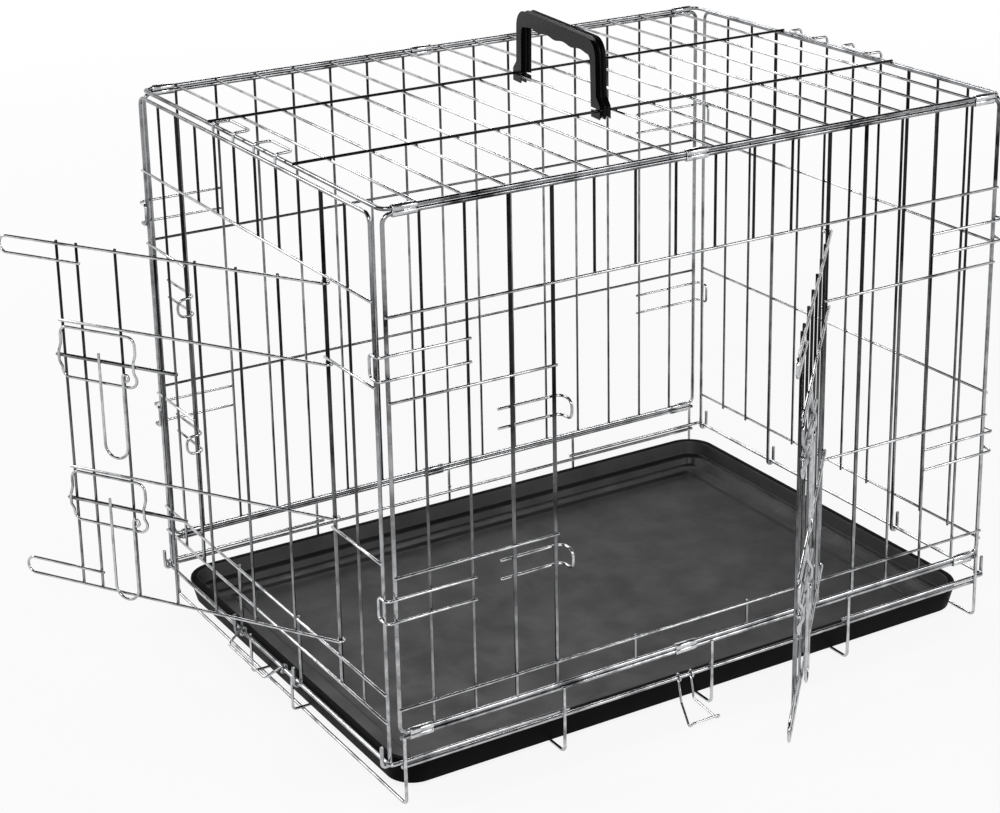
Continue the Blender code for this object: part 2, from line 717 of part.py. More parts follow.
def pan_stop(surface):
    """A bail on the left end rail that swings up to keep the tray in."""
    tilt = math.radians(PAN_STOP_TILT)
    arm = Vector((-math.cos(tilt), 0, -math.sin(tilt)))
    eye = BASE_WIRE / 2 + RUNNING_GAP + MESH_WIRE / 2
    centre = Vector((-END_RAIL_X, 0, END_RAIL_Z))
    pivots = [centre + Vector((0, share * END_PITCH, 0)) for share in PAN_STOP_SHARES]
    side = Vector((0, 1, 0)).cross(arm).normalized() * eye
    reach = side + arm * PAN_STOP_REACH
    taper = Vector((0, PAN_STOP_TAPER, 0))
    corners = [pivots[0] + side, pivots[0] + reach + taper, pivots[1] + reach - taper, pivots[1] + side]
    outline = rounded(corners, HOOK_CORNER, 2)
    path = wrapped_bail(pivots, (0, 1, 0), arm, eye, outline[1:-1])
    place("pan_stop", wire_set([(path, MESH_WIRE, (0, 1, 0), 6, False)]), surface, centre)


def fold_clasp(surface):
    """A bail on the front lower rail that goes over the folded crate. Its tip rests on the floor."""
    tilt = math.radians(CLASP_TILT)
    arm = Vector((0, -math.sin(tilt), -math.cos(tilt)))
    eye = BASE_WIRE / 2 + RUNNING_GAP + CLASP_WIRE / 2
    centre = Vector((0, -HALF_D, LOWER_RAIL_Z))
    pivots = [centre + Vector((x, 0, 0)) for x in CLASP_X]
    side = Vector((1, 0, 0)).cross(arm).normalized() * eye
    hook = Vector(CLASP_TIP)
    corners = [pivots[0] + side]
    corners.append(pivots[0] + side + arm * CLASP_LENGTH * CLASP_SPREAD)
    for x in CLASP_TIP_X:
        tip = centre + Vector((x, 0, 0)) + side + arm * CLASP_LENGTH
        corners += [tip, tip + hook] if x == CLASP_TIP_X[0] else [tip + hook, tip]
    corners.append(pivots[1] + side + arm * CLASP_LENGTH * CLASP_SPREAD)
    corners.append(pivots[1] + side)
    outline = rounded(corners, CLASP_CORNER, 2)
    path = wrapped_bail(pivots, (1, 0, 0), arm, eye, outline[1:-1])
    place("fold_clasp", wire_set([(path, CLASP_WIRE, (1, 0, 0), 6, False)]), surface, centre)


def carry_handle(surface):
    """A moulded grip with finger scallops. Its feet are hooked under the two roof bars."""
    bar_z = ROOF_Z + OUTER
    top = ROOF_Z + GRIP_TOP
    under = top - GRIP_THICK
    foot_low = bar_z - MESH_WIRE / 2 - FOOT_BELOW_BAR
    edge = -GRIP_WIDTH / 2
    foot = [Vector((edge, GRIP_HALF_FOOT, foot_low)), Vector((edge, GRIP_HALF_FOOT, bar_z + GRIP_FOOT_RISE))]
    leg = [Vector((edge, GRIP_HALF_LEG, bar_z + GRIP_SHOULDER)), Vector((edge, GRIP_HALF_TOP, top))]
    ankle = rounded([foot[0], foot[1], leg[0], leg[1]], GRIP_FOOT_CORNER, 2)[:-1]
    corner = rounded([ankle[-1], leg[1], mirrored(leg[1])], GRIP_CORNER, 6)[1:-1]
    outer = ankle + corner
    inner_foot = GRIP_HALF_LEG - GRIP_LEG
    inner_top = GRIP_HALF_TOP - GRIP_LEG
    half_span = inner_top - GRIP_SPLAY
    inner = [(inner_foot, foot_low), (inner_top, under - GRIP_SPLAY)]
    steps = 6 * SCALLOPS
    outline = [mirrored(p) for p in outer] + outer[::-1]
    outline += [Vector((edge, y, z)) for y, z in inner]
    for i in range(steps + 1):
        share = i / steps
        wave = SCALLOP_DEPTH * (1 - math.cos(2 * math.pi * SCALLOPS * share)) / 2
        outline.append(Vector((edge, half_span * (1 - 2 * share), under + wave)))
    outline += [Vector((edge, -y, z)) for y, z in inner[::-1]]
    mesh = extruded(outline, (GRIP_WIDTH, 0, 0))
    skew = Matrix.Translation((GRIP_SHIFT, 0, 0)) @ Matrix.Rotation(math.radians(GRIP_TURN), 4, "Z")
    bmesh.ops.transform(mesh, matrix=skew, verts=mesh.verts)
    item = place("carry_handle", mesh, surface, (0, 0, bar_z))
    bpy.context.view_layer.update()
    wide = MESH_WIRE + 2 * PIECE_GAP
    reach = 2 * GRIP_WIDTH
    relief_top = ROOF_Z + MESH_WIRE / 2 + PIECE_GAP - bar_z
    mouth = GRIP_HALF_FOOT - inner_foot
    for side in (-1, 1):
        y = side * BAR_Y
        bar = straight((-reach, y, 0), (reach, y, 0), wide, (0, 0, 1), 8)
        combine(item, wire_set([bar]), "DIFFERENCE")
        relief = (wide, RELIEF_LENGTH, RELIEF_DEPTH)
        combine(item, box(relief, (0, y, relief_top - RELIEF_DEPTH / 2)), "DIFFERENCE")
        size = (2 * reach, mouth, MOUTH_SHARE * wide)
        combine(item, box(size, (0, y - side * mouth / 2, 0)), "DIFFERENCE")
    finish(item, surface)


def build():
    clear_scene()
    chrome = material("bright zinc wire", (0.72, 0.73, 0.74), 1.0, 0.22)
    dark = material("zinc sheet", (0.62, 0.63, 0.65), 1.0, 0.30)
    plastic = material("black plastic", (0.018, 0.018, 0.020), 0.0, 0.45)
    base_frame(chrome)
    tray(plastic)
    pan_stop(chrome)
    fold_clasp(chrome)
    front_panel(chrome)
    back_panel(chrome)
    roof_panel(chrome)
    carry_handle(plastic)
    places = (("front", -HALF_D, 1, FRONT_BASE_CLIPS), ("back", HALF_D, -1, CLIP_CENTRES))
    for label, y, seam, base_clips in places:
        for i, (low_x, high_x) in enumerate(zip(base_clips, CLIP_CENTRES), 1):
            sleeve_clip(f"{label}_base_clip_{i}", low_x, y, RIM_Z, seam, dark)
            sleeve_clip(f"{label}_roof_clip_{i}", high_x, y, PANEL_TOP_Z, seam, dark)
    head = END_SILL_Z + DOOR_HEAD
    shorts = (END_SILL_Z + SIDE_RAIL_LOW, END_SILL_Z + SIDE_RAIL_HIGH)
    lefts = (LEFT_BOTTOM_RAIL, END_SILL_Z, head)
    under = 1.5 * END_PITCH
    jambs = (-END_JAMB_Y, END_JAMB_Y)
    end_panel("left_end_panel", -1, lefts, shorts, jambs, (-under, under), END_SILL_Z + OUTER, chrome)
    through = 2.5 * END_PITCH
    end_panel("right_end_panel", 1, RIGHT_RAILS, (), None, (-through, through), END_TOP_Z, chrome)
    for label, side in (("left", -1), ("right", 1)):
        for i, middle in enumerate((-END_PITCH, END_PITCH), 1):
            roof_hook(f"{label}_roof_hook_{i}", side, middle, chrome)
    for label, side_y, heights in (("front", -1, FRONT_HOOKS), ("back", 1, BACK_HOOKS)):
        for end, side_x in (("left", -1), ("right", 1)):
            for level, height in zip(("lower", "upper"), heights):
                corner_hook(f"{label}_{end}_hook_{level}", side_x, side_y, height, chrome)

    def on_front(across, out, height):
        return Vector((across, -HALF_D - out, height))

    def on_left(along, out, height):
        return Vector((-END_X - out, along, height))

    for level, rise in zip(("lower", "upper"), BOLT_HEIGHTS):
        spot = FRONT_JAMBS[0] + KEEPER_PAST_JAMB
        tail = FRONT_JAMBS[0] - PITCH - KEEPER_TAIL
        keeper(f"front_keeper_{level}", on_front, spot, tail, FRONT_SILL_Z + rise, chrome)
        spot = END_JAMB_Y - KEEPER_PAST_JAMB
        tail = END_JAMB_Y + END_PITCH + KEEPER_TAIL
        keeper(f"left_keeper_{level}", on_left, spot, tail, END_SILL_Z + rise, chrome)
    hinge = Vector((FRONT_JAMBS[1], -HALF_D, 0))
    turn = math.radians(180 + FRONT_DOOR_ANGLE)
    door_set("front", hinge, turn, FRONT_JAMBS[1] - FRONT_JAMBS[0], FRONT_SILL_Z, chrome)
    hinge = Vector((-END_X, -END_JAMB_Y, 0))
    turn = math.radians(90 + LEFT_DOOR_ANGLE)
    door_set("left", hinge, turn, 2 * END_JAMB_Y, END_SILL_Z, chrome)


build()
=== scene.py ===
"""The looks of the folding wire dog crate: round wires, welds, crimped sleeves, pan and grip."""
import json
import math

import bmesh
import bpy
from mathutils import Matrix, Vector


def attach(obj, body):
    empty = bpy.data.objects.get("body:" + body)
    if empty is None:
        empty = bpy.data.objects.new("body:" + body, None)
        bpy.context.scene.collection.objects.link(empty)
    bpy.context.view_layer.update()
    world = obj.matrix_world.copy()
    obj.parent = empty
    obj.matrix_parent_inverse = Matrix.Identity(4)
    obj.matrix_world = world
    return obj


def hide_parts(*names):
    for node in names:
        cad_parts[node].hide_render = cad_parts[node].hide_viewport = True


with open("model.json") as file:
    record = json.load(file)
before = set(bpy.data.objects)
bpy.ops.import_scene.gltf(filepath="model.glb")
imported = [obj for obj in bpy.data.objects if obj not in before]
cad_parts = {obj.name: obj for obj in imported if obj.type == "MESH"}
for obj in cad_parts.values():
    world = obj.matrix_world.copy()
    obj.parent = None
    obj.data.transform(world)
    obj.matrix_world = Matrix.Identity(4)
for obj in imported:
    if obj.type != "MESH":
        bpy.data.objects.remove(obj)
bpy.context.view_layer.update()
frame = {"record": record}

# Overall sizes of the wire box, between wire centres, as in the solids
LENGTH = 0.741
DEPTH = 0.547
ROOF_Z = 0.610
RIM_Z = 0.074
FRAME_WIRE = 0.0045
JAMB_WIRE = 0.0042
END_WIRE = 0.0040
BASE_WIRE = 0.0040
FOOT_WIRE = 0.0035
MESH_WIRE = 0.0030
BOLT_WIRE = 0.0040
CLASP_WIRE = 0.0026
PIECE_GAP = 0.0003
RUNNING_GAP = 0.0004
HINGE_GAP = 0.0005
WELD = 0.00047
RAIL_LAP = 0.0005
FOOT_PRESS = 0.0007
TEE_DEPTH = 0.42
TEE_SPREAD = 1.1

# Uprights
PANEL_UPRIGHTS = 15
SIDE_CELL = 0.038
END_UPRIGHTS = 10
END_SIDE_CELL = 0.0490
END_INSET = 0.0085
END_OFFSET = 0.008
END_DROP = 0.0045

# Base
LOWER_RAIL_Z = 0.0425
END_RAIL_Z = 0.048
END_RAIL_TAIL = 0.0075
FEET = 5
FOOT_INSET = 0.0025
FOOT_TOP_Z = 0.0758
FLOOR_WIRE_Y = 0.050
FLOOR_WIRE_TOP = 0.0495
HOOK_RISE = 0.018
FRAME_CORNER = 0.009
END_CORNER = 0.010
FOOT_CORNER = 0.007
FLOOR_WIRE_CORNER = 0.004
END_RAIL_CORNER = 0.0045

# Doors and the rails round them, heights from the sill
FRONT_SILL_Z = 0.106
END_SILL_Z = 0.1205
DOOR_HEAD = 0.402
SIDE_RAIL_LOW = 0.140
SIDE_RAIL_HIGH = 0.318
DOOR_RAILS = (0.0165, 0.150, 0.311, 0.393)
DOOR_EDGE_GAP = 0.0225
DOOR_FIRST_CELL = 0.0515
DOOR_UPRIGHTS = 6
DOOR_TIP_PAST = 0.0480
DOOR_TIP_SHORT = 0.0520
DOOR_TIP_WIDTH = 0.018
DOOR_STUB = 0.0025
BOLT_HEIGHTS = (0.115, 0.274)
FRONT_DOOR_ANGLE = 46.6
LEFT_DOOR_ANGLE = 31.8

# Latches, distances back from the jamb on the latch side
BOLT_START = 0.1630
BOLT_END = 0.0135
BRACKET_START = 0.1125
BRACKET_END = 0.0205
BRACKET_TOP = 0.031
BRACKET_BOTTOM = 0.0235
HANDLE_MIDDLE = 0.0845
HANDLE_WIDTH = 0.028
HANDLE_DROP = 0.102
HANDLE_STUB = 0.010
HANDLE_CURL = 0.0036
HANDLE_CURL_DROP = 0.012
BRACKET_CORNER = 0.009
BRACKET_BOW = 0.005
BRACKET_FOOT = 0.013
KEEPER_HALF = 0.010
KEEPER_REACH = 0.016
KEEPER_CORNER = 0.008
KEEPER_PAST_JAMB = 0.010
KEEPER_TAIL = 0.014
HINGE_EYE_TURN = 250
HANDLE_CURL_TURN = 285
BRACKET_BOW_CORNER = 0.006
BOLT_NOSE = 1.2
BOLT_TIP = 0.12
# The bolt's rounded tail: distance from its end and size, as shares of its radius
BOLT_TAIL = ((0.0, 0.7), (0.12, 0.9), (0.4, 1.0))

# Rails without a door
BACK_RAILS = (0.263, 0.438)
RIGHT_RAILS = (0.0905, 0.267, 0.442)
LEFT_BOTTOM_RAIL = 0.0905

# Corner hooks, roof hooks and sleeve clips
HOOK_HALF = 0.0118
HOOK_LENGTH = 0.0875
FRONT_HOOKS = (0.213, 0.4595)
BACK_HOOKS = (0.2325, 0.472)
HOOK_CORNER = 0.005
HOOK_GRIP = 0.004
HOOK_EASE = 0.0002
ROOF_HOOK_RISE = 0.0035
ROOF_HOOK_REACH = 0.019
CLIP_WALL = 0.0010
CLIP_LENGTH = 0.026
CLIP_INSET = 0.0225
CLIP_SEAM = 0.0012
FRONT_MIDDLE_CLIP_X = -0.0325
CLIP_PINCH = 0.0016
CLIP_LOBE = 28.0
CLIP_EDGE = 0.0006
CLIP_INNER_CREASE = 0.4
CLIP_SEAM_DEPTH = 0.6
# The clip's softened end: distance along and inset, as shares of CLIP_EDGE
CLIP_END_CURVE = ((0.0, 1.0), (0.4, 0.35), (1.0, 0.0))

# Carry handle
BAR_Y = 0.098
GRIP_WIDTH = 0.013
GRIP_TOP = 0.076
GRIP_THICK = 0.018
GRIP_HALF_TOP = 0.092
GRIP_HALF_LEG = 0.094
GRIP_HALF_FOOT = 0.1025
GRIP_LEG = 0.011
GRIP_SPLAY = 0.004
GRIP_CORNER = 0.020
GRIP_FOOT_CORNER = 0.004
GRIP_SHOULDER = 0.014
GRIP_FOOT_RISE = 0.005
FOOT_BELOW_BAR = 0.0075
GRIP_TURN = -5.6
GRIP_SHIFT = -0.0055
SCALLOPS = 4
SCALLOP_DEPTH = 0.0022
MOUTH_SHARE = 0.8
RELIEF_LENGTH = 0.060
RELIEF_DEPTH = 0.012
GRIP_EDGE = 0.0038
GRIP_INNER_CORNER = 0.006
# The parting line: place across the grip and depth
PARTING_LINE = ((-0.0005, 0.0), (-0.0002, 0.00022), (0.0002, 0.00022), (0.0005, 0.0))

# Tray
TRAY_INSET_X = 0.001
TRAY_INSET_Y = 0.0095
TRAY_TOP_Z = 0.0370
TRAY_WALL = 0.0022
TRAY_STEP = 0.0115
TRAY_LIP = 0.0028
TRAY_CORNER = 0.036
TRAY_INNER_CORNER = 0.004
# Places across the tray's profile, inwards from its outer edge
TRAY_UNDERSIDE = 0.060
TRAY_HEEL = (0.010, 0.0065)
TRAY_HEEL_RISE = 0.002
TRAY_NECK = 0.0035
TRAY_RIM = (0.0006, 0.0085)
TRAY_SHELF = (0.013, 0.0215)
TRAY_SHELF_RISE = 0.001
TRAY_LEDGE = (0.0265, 0.042)
TRAY_LEDGE_RISE = 0.0007
TRAY_FLOOR = (0.046, 0.075)
TRAY_SOFTENING = 0.0021

# Small wire forms
PAN_STOP_SHARES = (-0.8, 1.3)
PAN_STOP_REACH = 0.021
PAN_STOP_TAPER = 0.005
PAN_STOP_TILT = 30.0
CLASP_X = (-0.0405, -0.0245)
CLASP_TIP_X = (-0.0500, -0.0150)
CLASP_LENGTH = 0.052
CLASP_TILT = 44.0
CLASP_NECK = 0.08
CLASP_SPREAD = 0.45
CLASP_CORNER = 0.004
CLASP_TIP = (0.0, -0.006, 0.007)
CLASP_BOW = (-0.003, 0.004, -0.0045)
EYE_TURN = 265

# Fineness of the shown wires
WIRE_SIDES = 14
THIN_SIDES = 12
BOLT_SIDES = 18
BORE_SIDES = 16
BEND_STEPS = 7
HOOK_STEPS = 12
END_CORNER_STEPS = 9
EYE_STEPS = 16
LOOP_STEPS = 18
DOOR_TIP_STEPS = 14
BRACKET_STEPS = 8
BOW_STEPS = 5
NOSE_STEPS = 6
CLIP_STEPS = 12
TRAY_STEPS = 5
TRAY_CORNER_STEPS = 14
GRIP_EDGE_STEPS = 6
GRIP_CORNER_STEPS = 12
ANKLE_STEPS = 5
GRIP_INNER_STEPS = 4
SCALLOP_STEPS = 12
NUGGET_SPREAD = 1.32
NUGGET_HEIGHT = 0.62
CUT_EDGE = 0.35
CUT_CURVE = 0.3
STRAIGHT_HALF = math.radians(89.5)
BEND_ROOM = 0.98

# Material of each face of a wire piece, by its place in the piece's list
# The fourth mark takes a darker copy of the zinc: painted shade that makes the uprights and roof
# bars read darker than the rails.
RAIL_MARK, NUGGET_MARK, FRAME_MARK, SHADED_MARK = range(4)

# Smooth shading ends at these angles, in degrees
WIRE_CREASE = 50
SHEET_CREASE = 35
TRAY_CREASE = 40
GRIP_CREASE = 38

# Fixed values of the materials
NOISE_RANGE = (0.3, 0.7)
PATCH_STOPS = (0.32, 0.52, 0.72)
MARK_SCALE = 900.0
GLOSS_SCALE = 120.0
MARK_DEPTH = 0.0002
DUST_STOPS = (0.35, 0.75)
DUST_SCALE = 9.0
RUB_SCALE = 22.0
PIT_DEPTH = 0.0003

# Stage, light and camera
FLOOR_HALF = 8.0
FLOOR_PAINT = (0.90, 0.90, 0.90, 1)
FLOOR_ROUGHNESS = 0.9
FLOOR_SHINE = 0.1
FLOOR_GLOW = 0.88
FLOOR_FADE = (0.9, 3.2)
WALL_TOP = (0.30, 0.45)
CEILING = (0.03, 0.03, 0.032)
ROOM_LIGHT = 0.8
LAMP_AIM = (0, 0, 0.3)
# Name, size, power and place
LAMPS = (
    ("key", (1.5, 0.9), 46.0, (-1.6, -2.3, 2.5)),
    ("fill", (1.5, 0.7), 32.0, (1.6, -2.6, 1.8)),
    ("end_light", (1.3, 0.7), 26.0, (-1.6, 2.2, 1.8)),
    ("back_light", (1.6, 0.4), 22.0, (1.2, 2.3, 2.3)),
)
SENSOR_WIDTH = 36.0
CAMERA_NEAR = 0.05
CAMERA_FOCAL = 2.2775
CAMERA_SHIFT = (-0.0155, -0.1365)
CAMERA_TURN = (1.83285, -0.52911, 0.35896)
CAMERA_PLACE = (-1.28126, -2.00592, 1.20051)

# Derived places
HALF_L = LENGTH / 2
HALF_D = DEPTH / 2
PITCH = 2 * (HALF_L - SIDE_CELL) / (PANEL_UPRIGHTS - 1)
END_EDGE_Y = HALF_D - END_INSET
END_PITCH = 2 * (END_EDGE_Y - END_SIDE_CELL) / (END_UPRIGHTS - 1)
FOOT_PITCH = 2 * (HALF_L - FOOT_INSET) / (FEET - 1)
CLIP_CENTRES = (CLIP_INSET - HALF_L, -PITCH / 2, HALF_L - CLIP_INSET)
FRONT_BASE_CLIPS = (CLIP_CENTRES[0], FRONT_MIDDLE_CLIP_X, CLIP_CENTRES[2])
TRAY_HALF_X = HALF_L - TRAY_INSET_X
TRAY_HALF_Y = HALF_D - TRAY_INSET_Y
RAIL_STEP = FRAME_WIRE + HINGE_GAP
PANEL_BOTTOM_Z = RIM_Z + RAIL_STEP
PANEL_TOP_Z = ROOF_Z - RAIL_STEP
OUTER = MESH_WIRE - WELD
END_X = HALF_L + END_OFFSET
END_TOP_Z = ROOF_Z - END_DROP
HOOK_RADIUS = BASE_WIRE / 2 + RUNNING_GAP + END_WIRE / 2
END_RAIL_X = END_X + HOOK_RADIUS
FRONT_JAMBS = (-4 * PITCH, 3 * PITCH)
END_JAMB_Y = 3.5 * END_PITCH
DOOR_LAYER = JAMB_WIRE / 2 + RUNNING_GAP + MESH_WIRE / 2
DOOR_MESH_LAYER = DOOR_LAYER - OUTER
BOLT_LAYER = DOOR_MESH_LAYER + MESH_WIRE / 2 + PIECE_GAP + BOLT_WIRE / 2
OVER_BOLT = BOLT_LAYER + BOLT_WIRE / 2 + PIECE_GAP + MESH_WIRE / 2
BRACKET_LAYER = DOOR_MESH_LAYER + MESH_WIRE + PIECE_GAP
FOOT_FLAT = FOOT_WIRE / 2 * math.cos(math.pi / 6)
FLOOR_WIRE_Z = 2 * FOOT_FLAT + MESH_WIRE / 2 - WELD
TRAY_BOTTOM_Z = FLOOR_WIRE_Z + MESH_WIRE / 2 + PIECE_GAP

BODIES = frame["record"]["behaviour"]["bodies"]
BODY_OF = {node: body for body, held in BODIES.items() for node in held}


# Materials


def tree_of(name):
    made = bpy.data.materials.new(name)
    made.use_nodes = True
    nodes = made.node_tree.nodes
    return made, nodes, made.node_tree.links, nodes["Principled BSDF"]


def noise(nodes, links, place, scale, detail, rough):
    node = nodes.new("ShaderNodeTexNoise")
    node.inputs["Scale"].default_value = scale
    node.inputs["Detail"].default_value = detail
    node.inputs["Roughness"].default_value = rough
    links.new(place, node.inputs["Vector"])
    return node.outputs["Fac"]


def ramp(nodes, links, source, stops):
    node = nodes.new("ShaderNodeValToRGB")
    node.color_ramp.elements[0].position = stops[0][0]
    node.color_ramp.elements[0].color = (*stops[0][1], 1)
    node.color_ramp.elements[1].position = stops[-1][0]
    node.color_ramp.elements[1].color = (*stops[-1][1], 1)
    for position, colour in stops[1:-1]:
        element = node.color_ramp.elements.new(position)
        element.color = (*colour, 1)
    links.new(source, node.inputs["Fac"])
    return node.outputs["Color"]


def spread(nodes, links, source, low, high):
    node = nodes.new("ShaderNodeMapRange")
    node.inputs["From Min"].default_value, node.inputs["From Max"].default_value = NOISE_RANGE
    node.inputs["To Min"].default_value = low
    node.inputs["To Max"].default_value = high
    links.new(source, node.inputs["Value"])
    return node.outputs["Result"]


def bump(nodes, links, source, strength, distance):
    node = nodes.new("ShaderNodeBump")
    node.inputs["Strength"].default_value = strength
    node.inputs["Distance"].default_value = distance
    links.new(source, node.inputs["Height"])
    return node.outputs["Normal"]


def patches(nodes, links, clouds, dark, bright):
    low, middle, high = PATCH_STOPS
    return ramp(nodes, links, clouds, [(low, dark), (middle, bright), (high, dark)])


def plated_metal(name, dark, bright, rough, grain, patch, low=None, between=None):
    """Zinc plating: cloudy patches, fine drawing marks and a slightly uneven gloss.

    low is the pair of colours near the floor, paler than at the top: painted shade that darkens
    the wire towards the top.
    between is the two heights over which the one passes into the other.
    """
    made, nodes, links, shader = tree_of(name)
    place = nodes.new("ShaderNodeTexCoord").outputs["Object"]
    clouds = noise(nodes, links, place, patch, 5.0, 0.6)
    colour = patches(nodes, links, clouds, dark, bright)
    # Painted shade: blend from the paler low colours near the floor to the darker colours at the
    # top, by height.
    if low is not None:
        pale = patches(nodes, links, clouds, *low)
        parts = nodes.new("ShaderNodeSeparateXYZ")
        links.new(place, parts.inputs["Vector"])
        height = nodes.new("ShaderNodeMapRange")
        height.inputs["From Min"].default_value, height.inputs["From Max"].default_value = between
        links.new(parts.outputs["Z"], height.inputs["Value"])
        mix = nodes.new("ShaderNodeMixRGB")
        links.new(height.outputs["Result"], mix.inputs["Fac"])
        links.new(pale, mix.inputs["Color1"])
        links.new(colour, mix.inputs["Color2"])
        colour = mix.outputs["Color"]
    links.new(colour, shader.inputs["Base Color"])
    marks = noise(nodes, links, place, MARK_SCALE, 3.0, 0.5)
    gloss = noise(nodes, links, place, GLOSS_SCALE, 3.0, 0.5)
    links.new(spread(nodes, links, gloss, *rough), shader.inputs["Roughness"])
    links.new(bump(nodes, links, marks, grain, MARK_DEPTH), shader.inputs["Normal"])
    shader.inputs["Metallic"].default_value = 1.0
    return made


def moulded_plastic(name, dark, bright, rough, grain, scale, shine):
    """Black moulded plastic: fine spark-eroded grain, faint dust and rubbed patches."""
    made, nodes, links, shader = tree_of(name)
    place = nodes.new("ShaderNodeTexCoord").outputs["Object"]
    clouds = noise(nodes, links, place, DUST_SCALE, 6.0, 0.62)
    dusty = ramp(nodes, links, clouds, list(zip(DUST_STOPS, (dark, bright))))
    links.new(dusty, shader.inputs["Base Color"])
    pits = noise(nodes, links, place, scale, 2.0, 0.5)
    rubbed = noise(nodes, links, place, RUB_SCALE, 4.0, 0.6)
    links.new(spread(nodes, links, rubbed, *rough), shader.inputs["Roughness"])
    links.new(bump(nodes, links, pits, grain, PIT_DEPTH), shader.inputs["Normal"])
    shader.inputs["Metallic"].default_value = 0.0
    shader.inputs["Specular IOR Level"].default_value = shine
    return made


WIRE = plated_metal(
    "zinc_wire", (0.19, 0.193, 0.201), (0.58, 0.585, 0.595), (0.09, 0.17), 0.12, 32.0)
RAIL = plated_metal(
    "zinc_rail", (0.11, 0.113, 0.119), (0.50, 0.505, 0.515), (0.10, 0.19), 0.12, 32.0)
# Painted shade: a darker copy of the same zinc for the back rails, darkest at the top and paler
# near the floor.
BACK_RAIL_SHADED_ZINC = plated_metal(
    "zinc_back_rail_painted_shade", (0.03, 0.031, 0.034), (0.14, 0.143, 0.15), (0.10, 0.19), 0.12, 32.0,
    ((0.14, 0.143, 0.15), (0.50, 0.505, 0.515)), (0.10, 0.30))
# Painted shade: a near-black copy of the same zinc for uprights and roof bars, darker than the
# rails and darkest at the top.
SHADED_ZINC = plated_metal(
    "zinc_painted_shade", (0.002, 0.0021, 0.0024), (0.022, 0.0225, 0.024), (0.12, 0.22), 0.12, 17.0,
    ((0.055, 0.056, 0.059), (0.40, 0.405, 0.415)), (0.08, 0.42))
# Painted shade: a dark copy of the same zinc for the back panel's uprights, darkest at the top and
# paler near the floor.
BACK_SHADED_ZINC = plated_metal(
    "zinc_back_painted_shade", (0.004, 0.0042, 0.0047), (0.040, 0.041, 0.044), (0.12, 0.22), 0.12, 17.0,
    ((0.05, 0.051, 0.054), (0.36, 0.365, 0.375)), (0.34, 0.56))
# Painted shade: a copy of the same zinc for the thick frame and bolt wires, darkest at the top and
# paler near the floor.
SHADED_THICK_ZINC = plated_metal(
    "zinc_frame_wire_painted_shade", (0.016, 0.0165, 0.018), (0.30, 0.304, 0.314), (0.09, 0.17), 0.12, 17.0,
    ((0.08, 0.082, 0.087), (0.50, 0.505, 0.515)), (0.12, 0.50))
NUGGET = plated_metal(
    "weld_zinc", (0.08, 0.08, 0.085), (0.26, 0.26, 0.265), (0.28, 0.42), 0.35, 160.0)
SLEEVE = plated_metal(
    "zinc_sheet", (0.34, 0.345, 0.355), (0.66, 0.665, 0.675), (0.16, 0.28), 0.20, 60.0)
PAN = moulded_plastic(
    "tray_plastic", (0.0010, 0.0010, 0.0012), (0.0026, 0.0026, 0.003),
    (0.42, 0.56), 0.25, 1500.0, 0.03)
# The inside's paler colour is partly the grain's own tone and partly a painted sheen on the tray
# floor.
PAN_INSIDE = moulded_plastic(
    "tray_grain_and_sheen", (0.0065, 0.0065, 0.0071), (0.022, 0.022, 0.0237),
    (0.40, 0.58), 0.45, 700.0, 0.44)
GRIP = moulded_plastic(
    "grip_plastic", (0.0020, 0.0020, 0.0023), (0.005, 0.005, 0.0055),
    (0.20, 0.32), 0.30, 1900.0, 0.12)


# Mesh helpers


def arc(centre, start, axis, degrees, steps):
    centre = Vector(centre)
    arm = Vector(start) - centre
    angles = [math.radians(degrees) * i / steps for i in range(steps + 1)]
    return [centre + Matrix.Rotation(angle, 3, Vector(axis)) @ arm for angle in angles]


def rounded(corners, radius, steps=BEND_STEPS, closed=False):
    points = [Vector(p) for p in corners]
    count = len(points)
    path = []
    for i, here in enumerate(points):
        if not closed and i in (0, count - 1):
            path.append(here)
            continue
        back = (points[i - 1] - here).normalized()
        ahead = (points[(i + 1) % count] - here).normalized()
        half = back.angle(ahead) / 2
        if half > STRAIGHT_HALF:
            path.append(here)
            continue
        room = min((points[i - 1] - here).length, (points[(i + 1) % count] - here).length) / 2
        size = min(radius, room * BEND_ROOM * math.tan(half))
        reach = size / math.tan(half)
        middle = here + (back + ahead).normalized() * (size / math.sin(half))
        first = here + back * reach
        last = here + ahead * reach
        turn = (first - middle).angle(last - middle)
        axis = (first - middle).cross(last - middle).normalized()
        path += arc(middle, first, axis, math.degrees(turn), steps)
    return path


def ring_at(mesh, here, up, side, radius, sides):
    turns = [2 * math.pi * k / sides for k in range(sides)]
    return [mesh.verts.new(here + (up * math.cos(a) + side * math.sin(a)) * radius) for a in turns]


def skin(mesh, loops, mark=0):
    """Faces between each loop of vertices and the next."""
    for low, high in zip(loops, loops[1:]):
        for i in range(len(low)):
            j = (i + 1) % len(low)
            mesh.faces.new((low[i], low[j], high[j], high[i])).material_index = mark


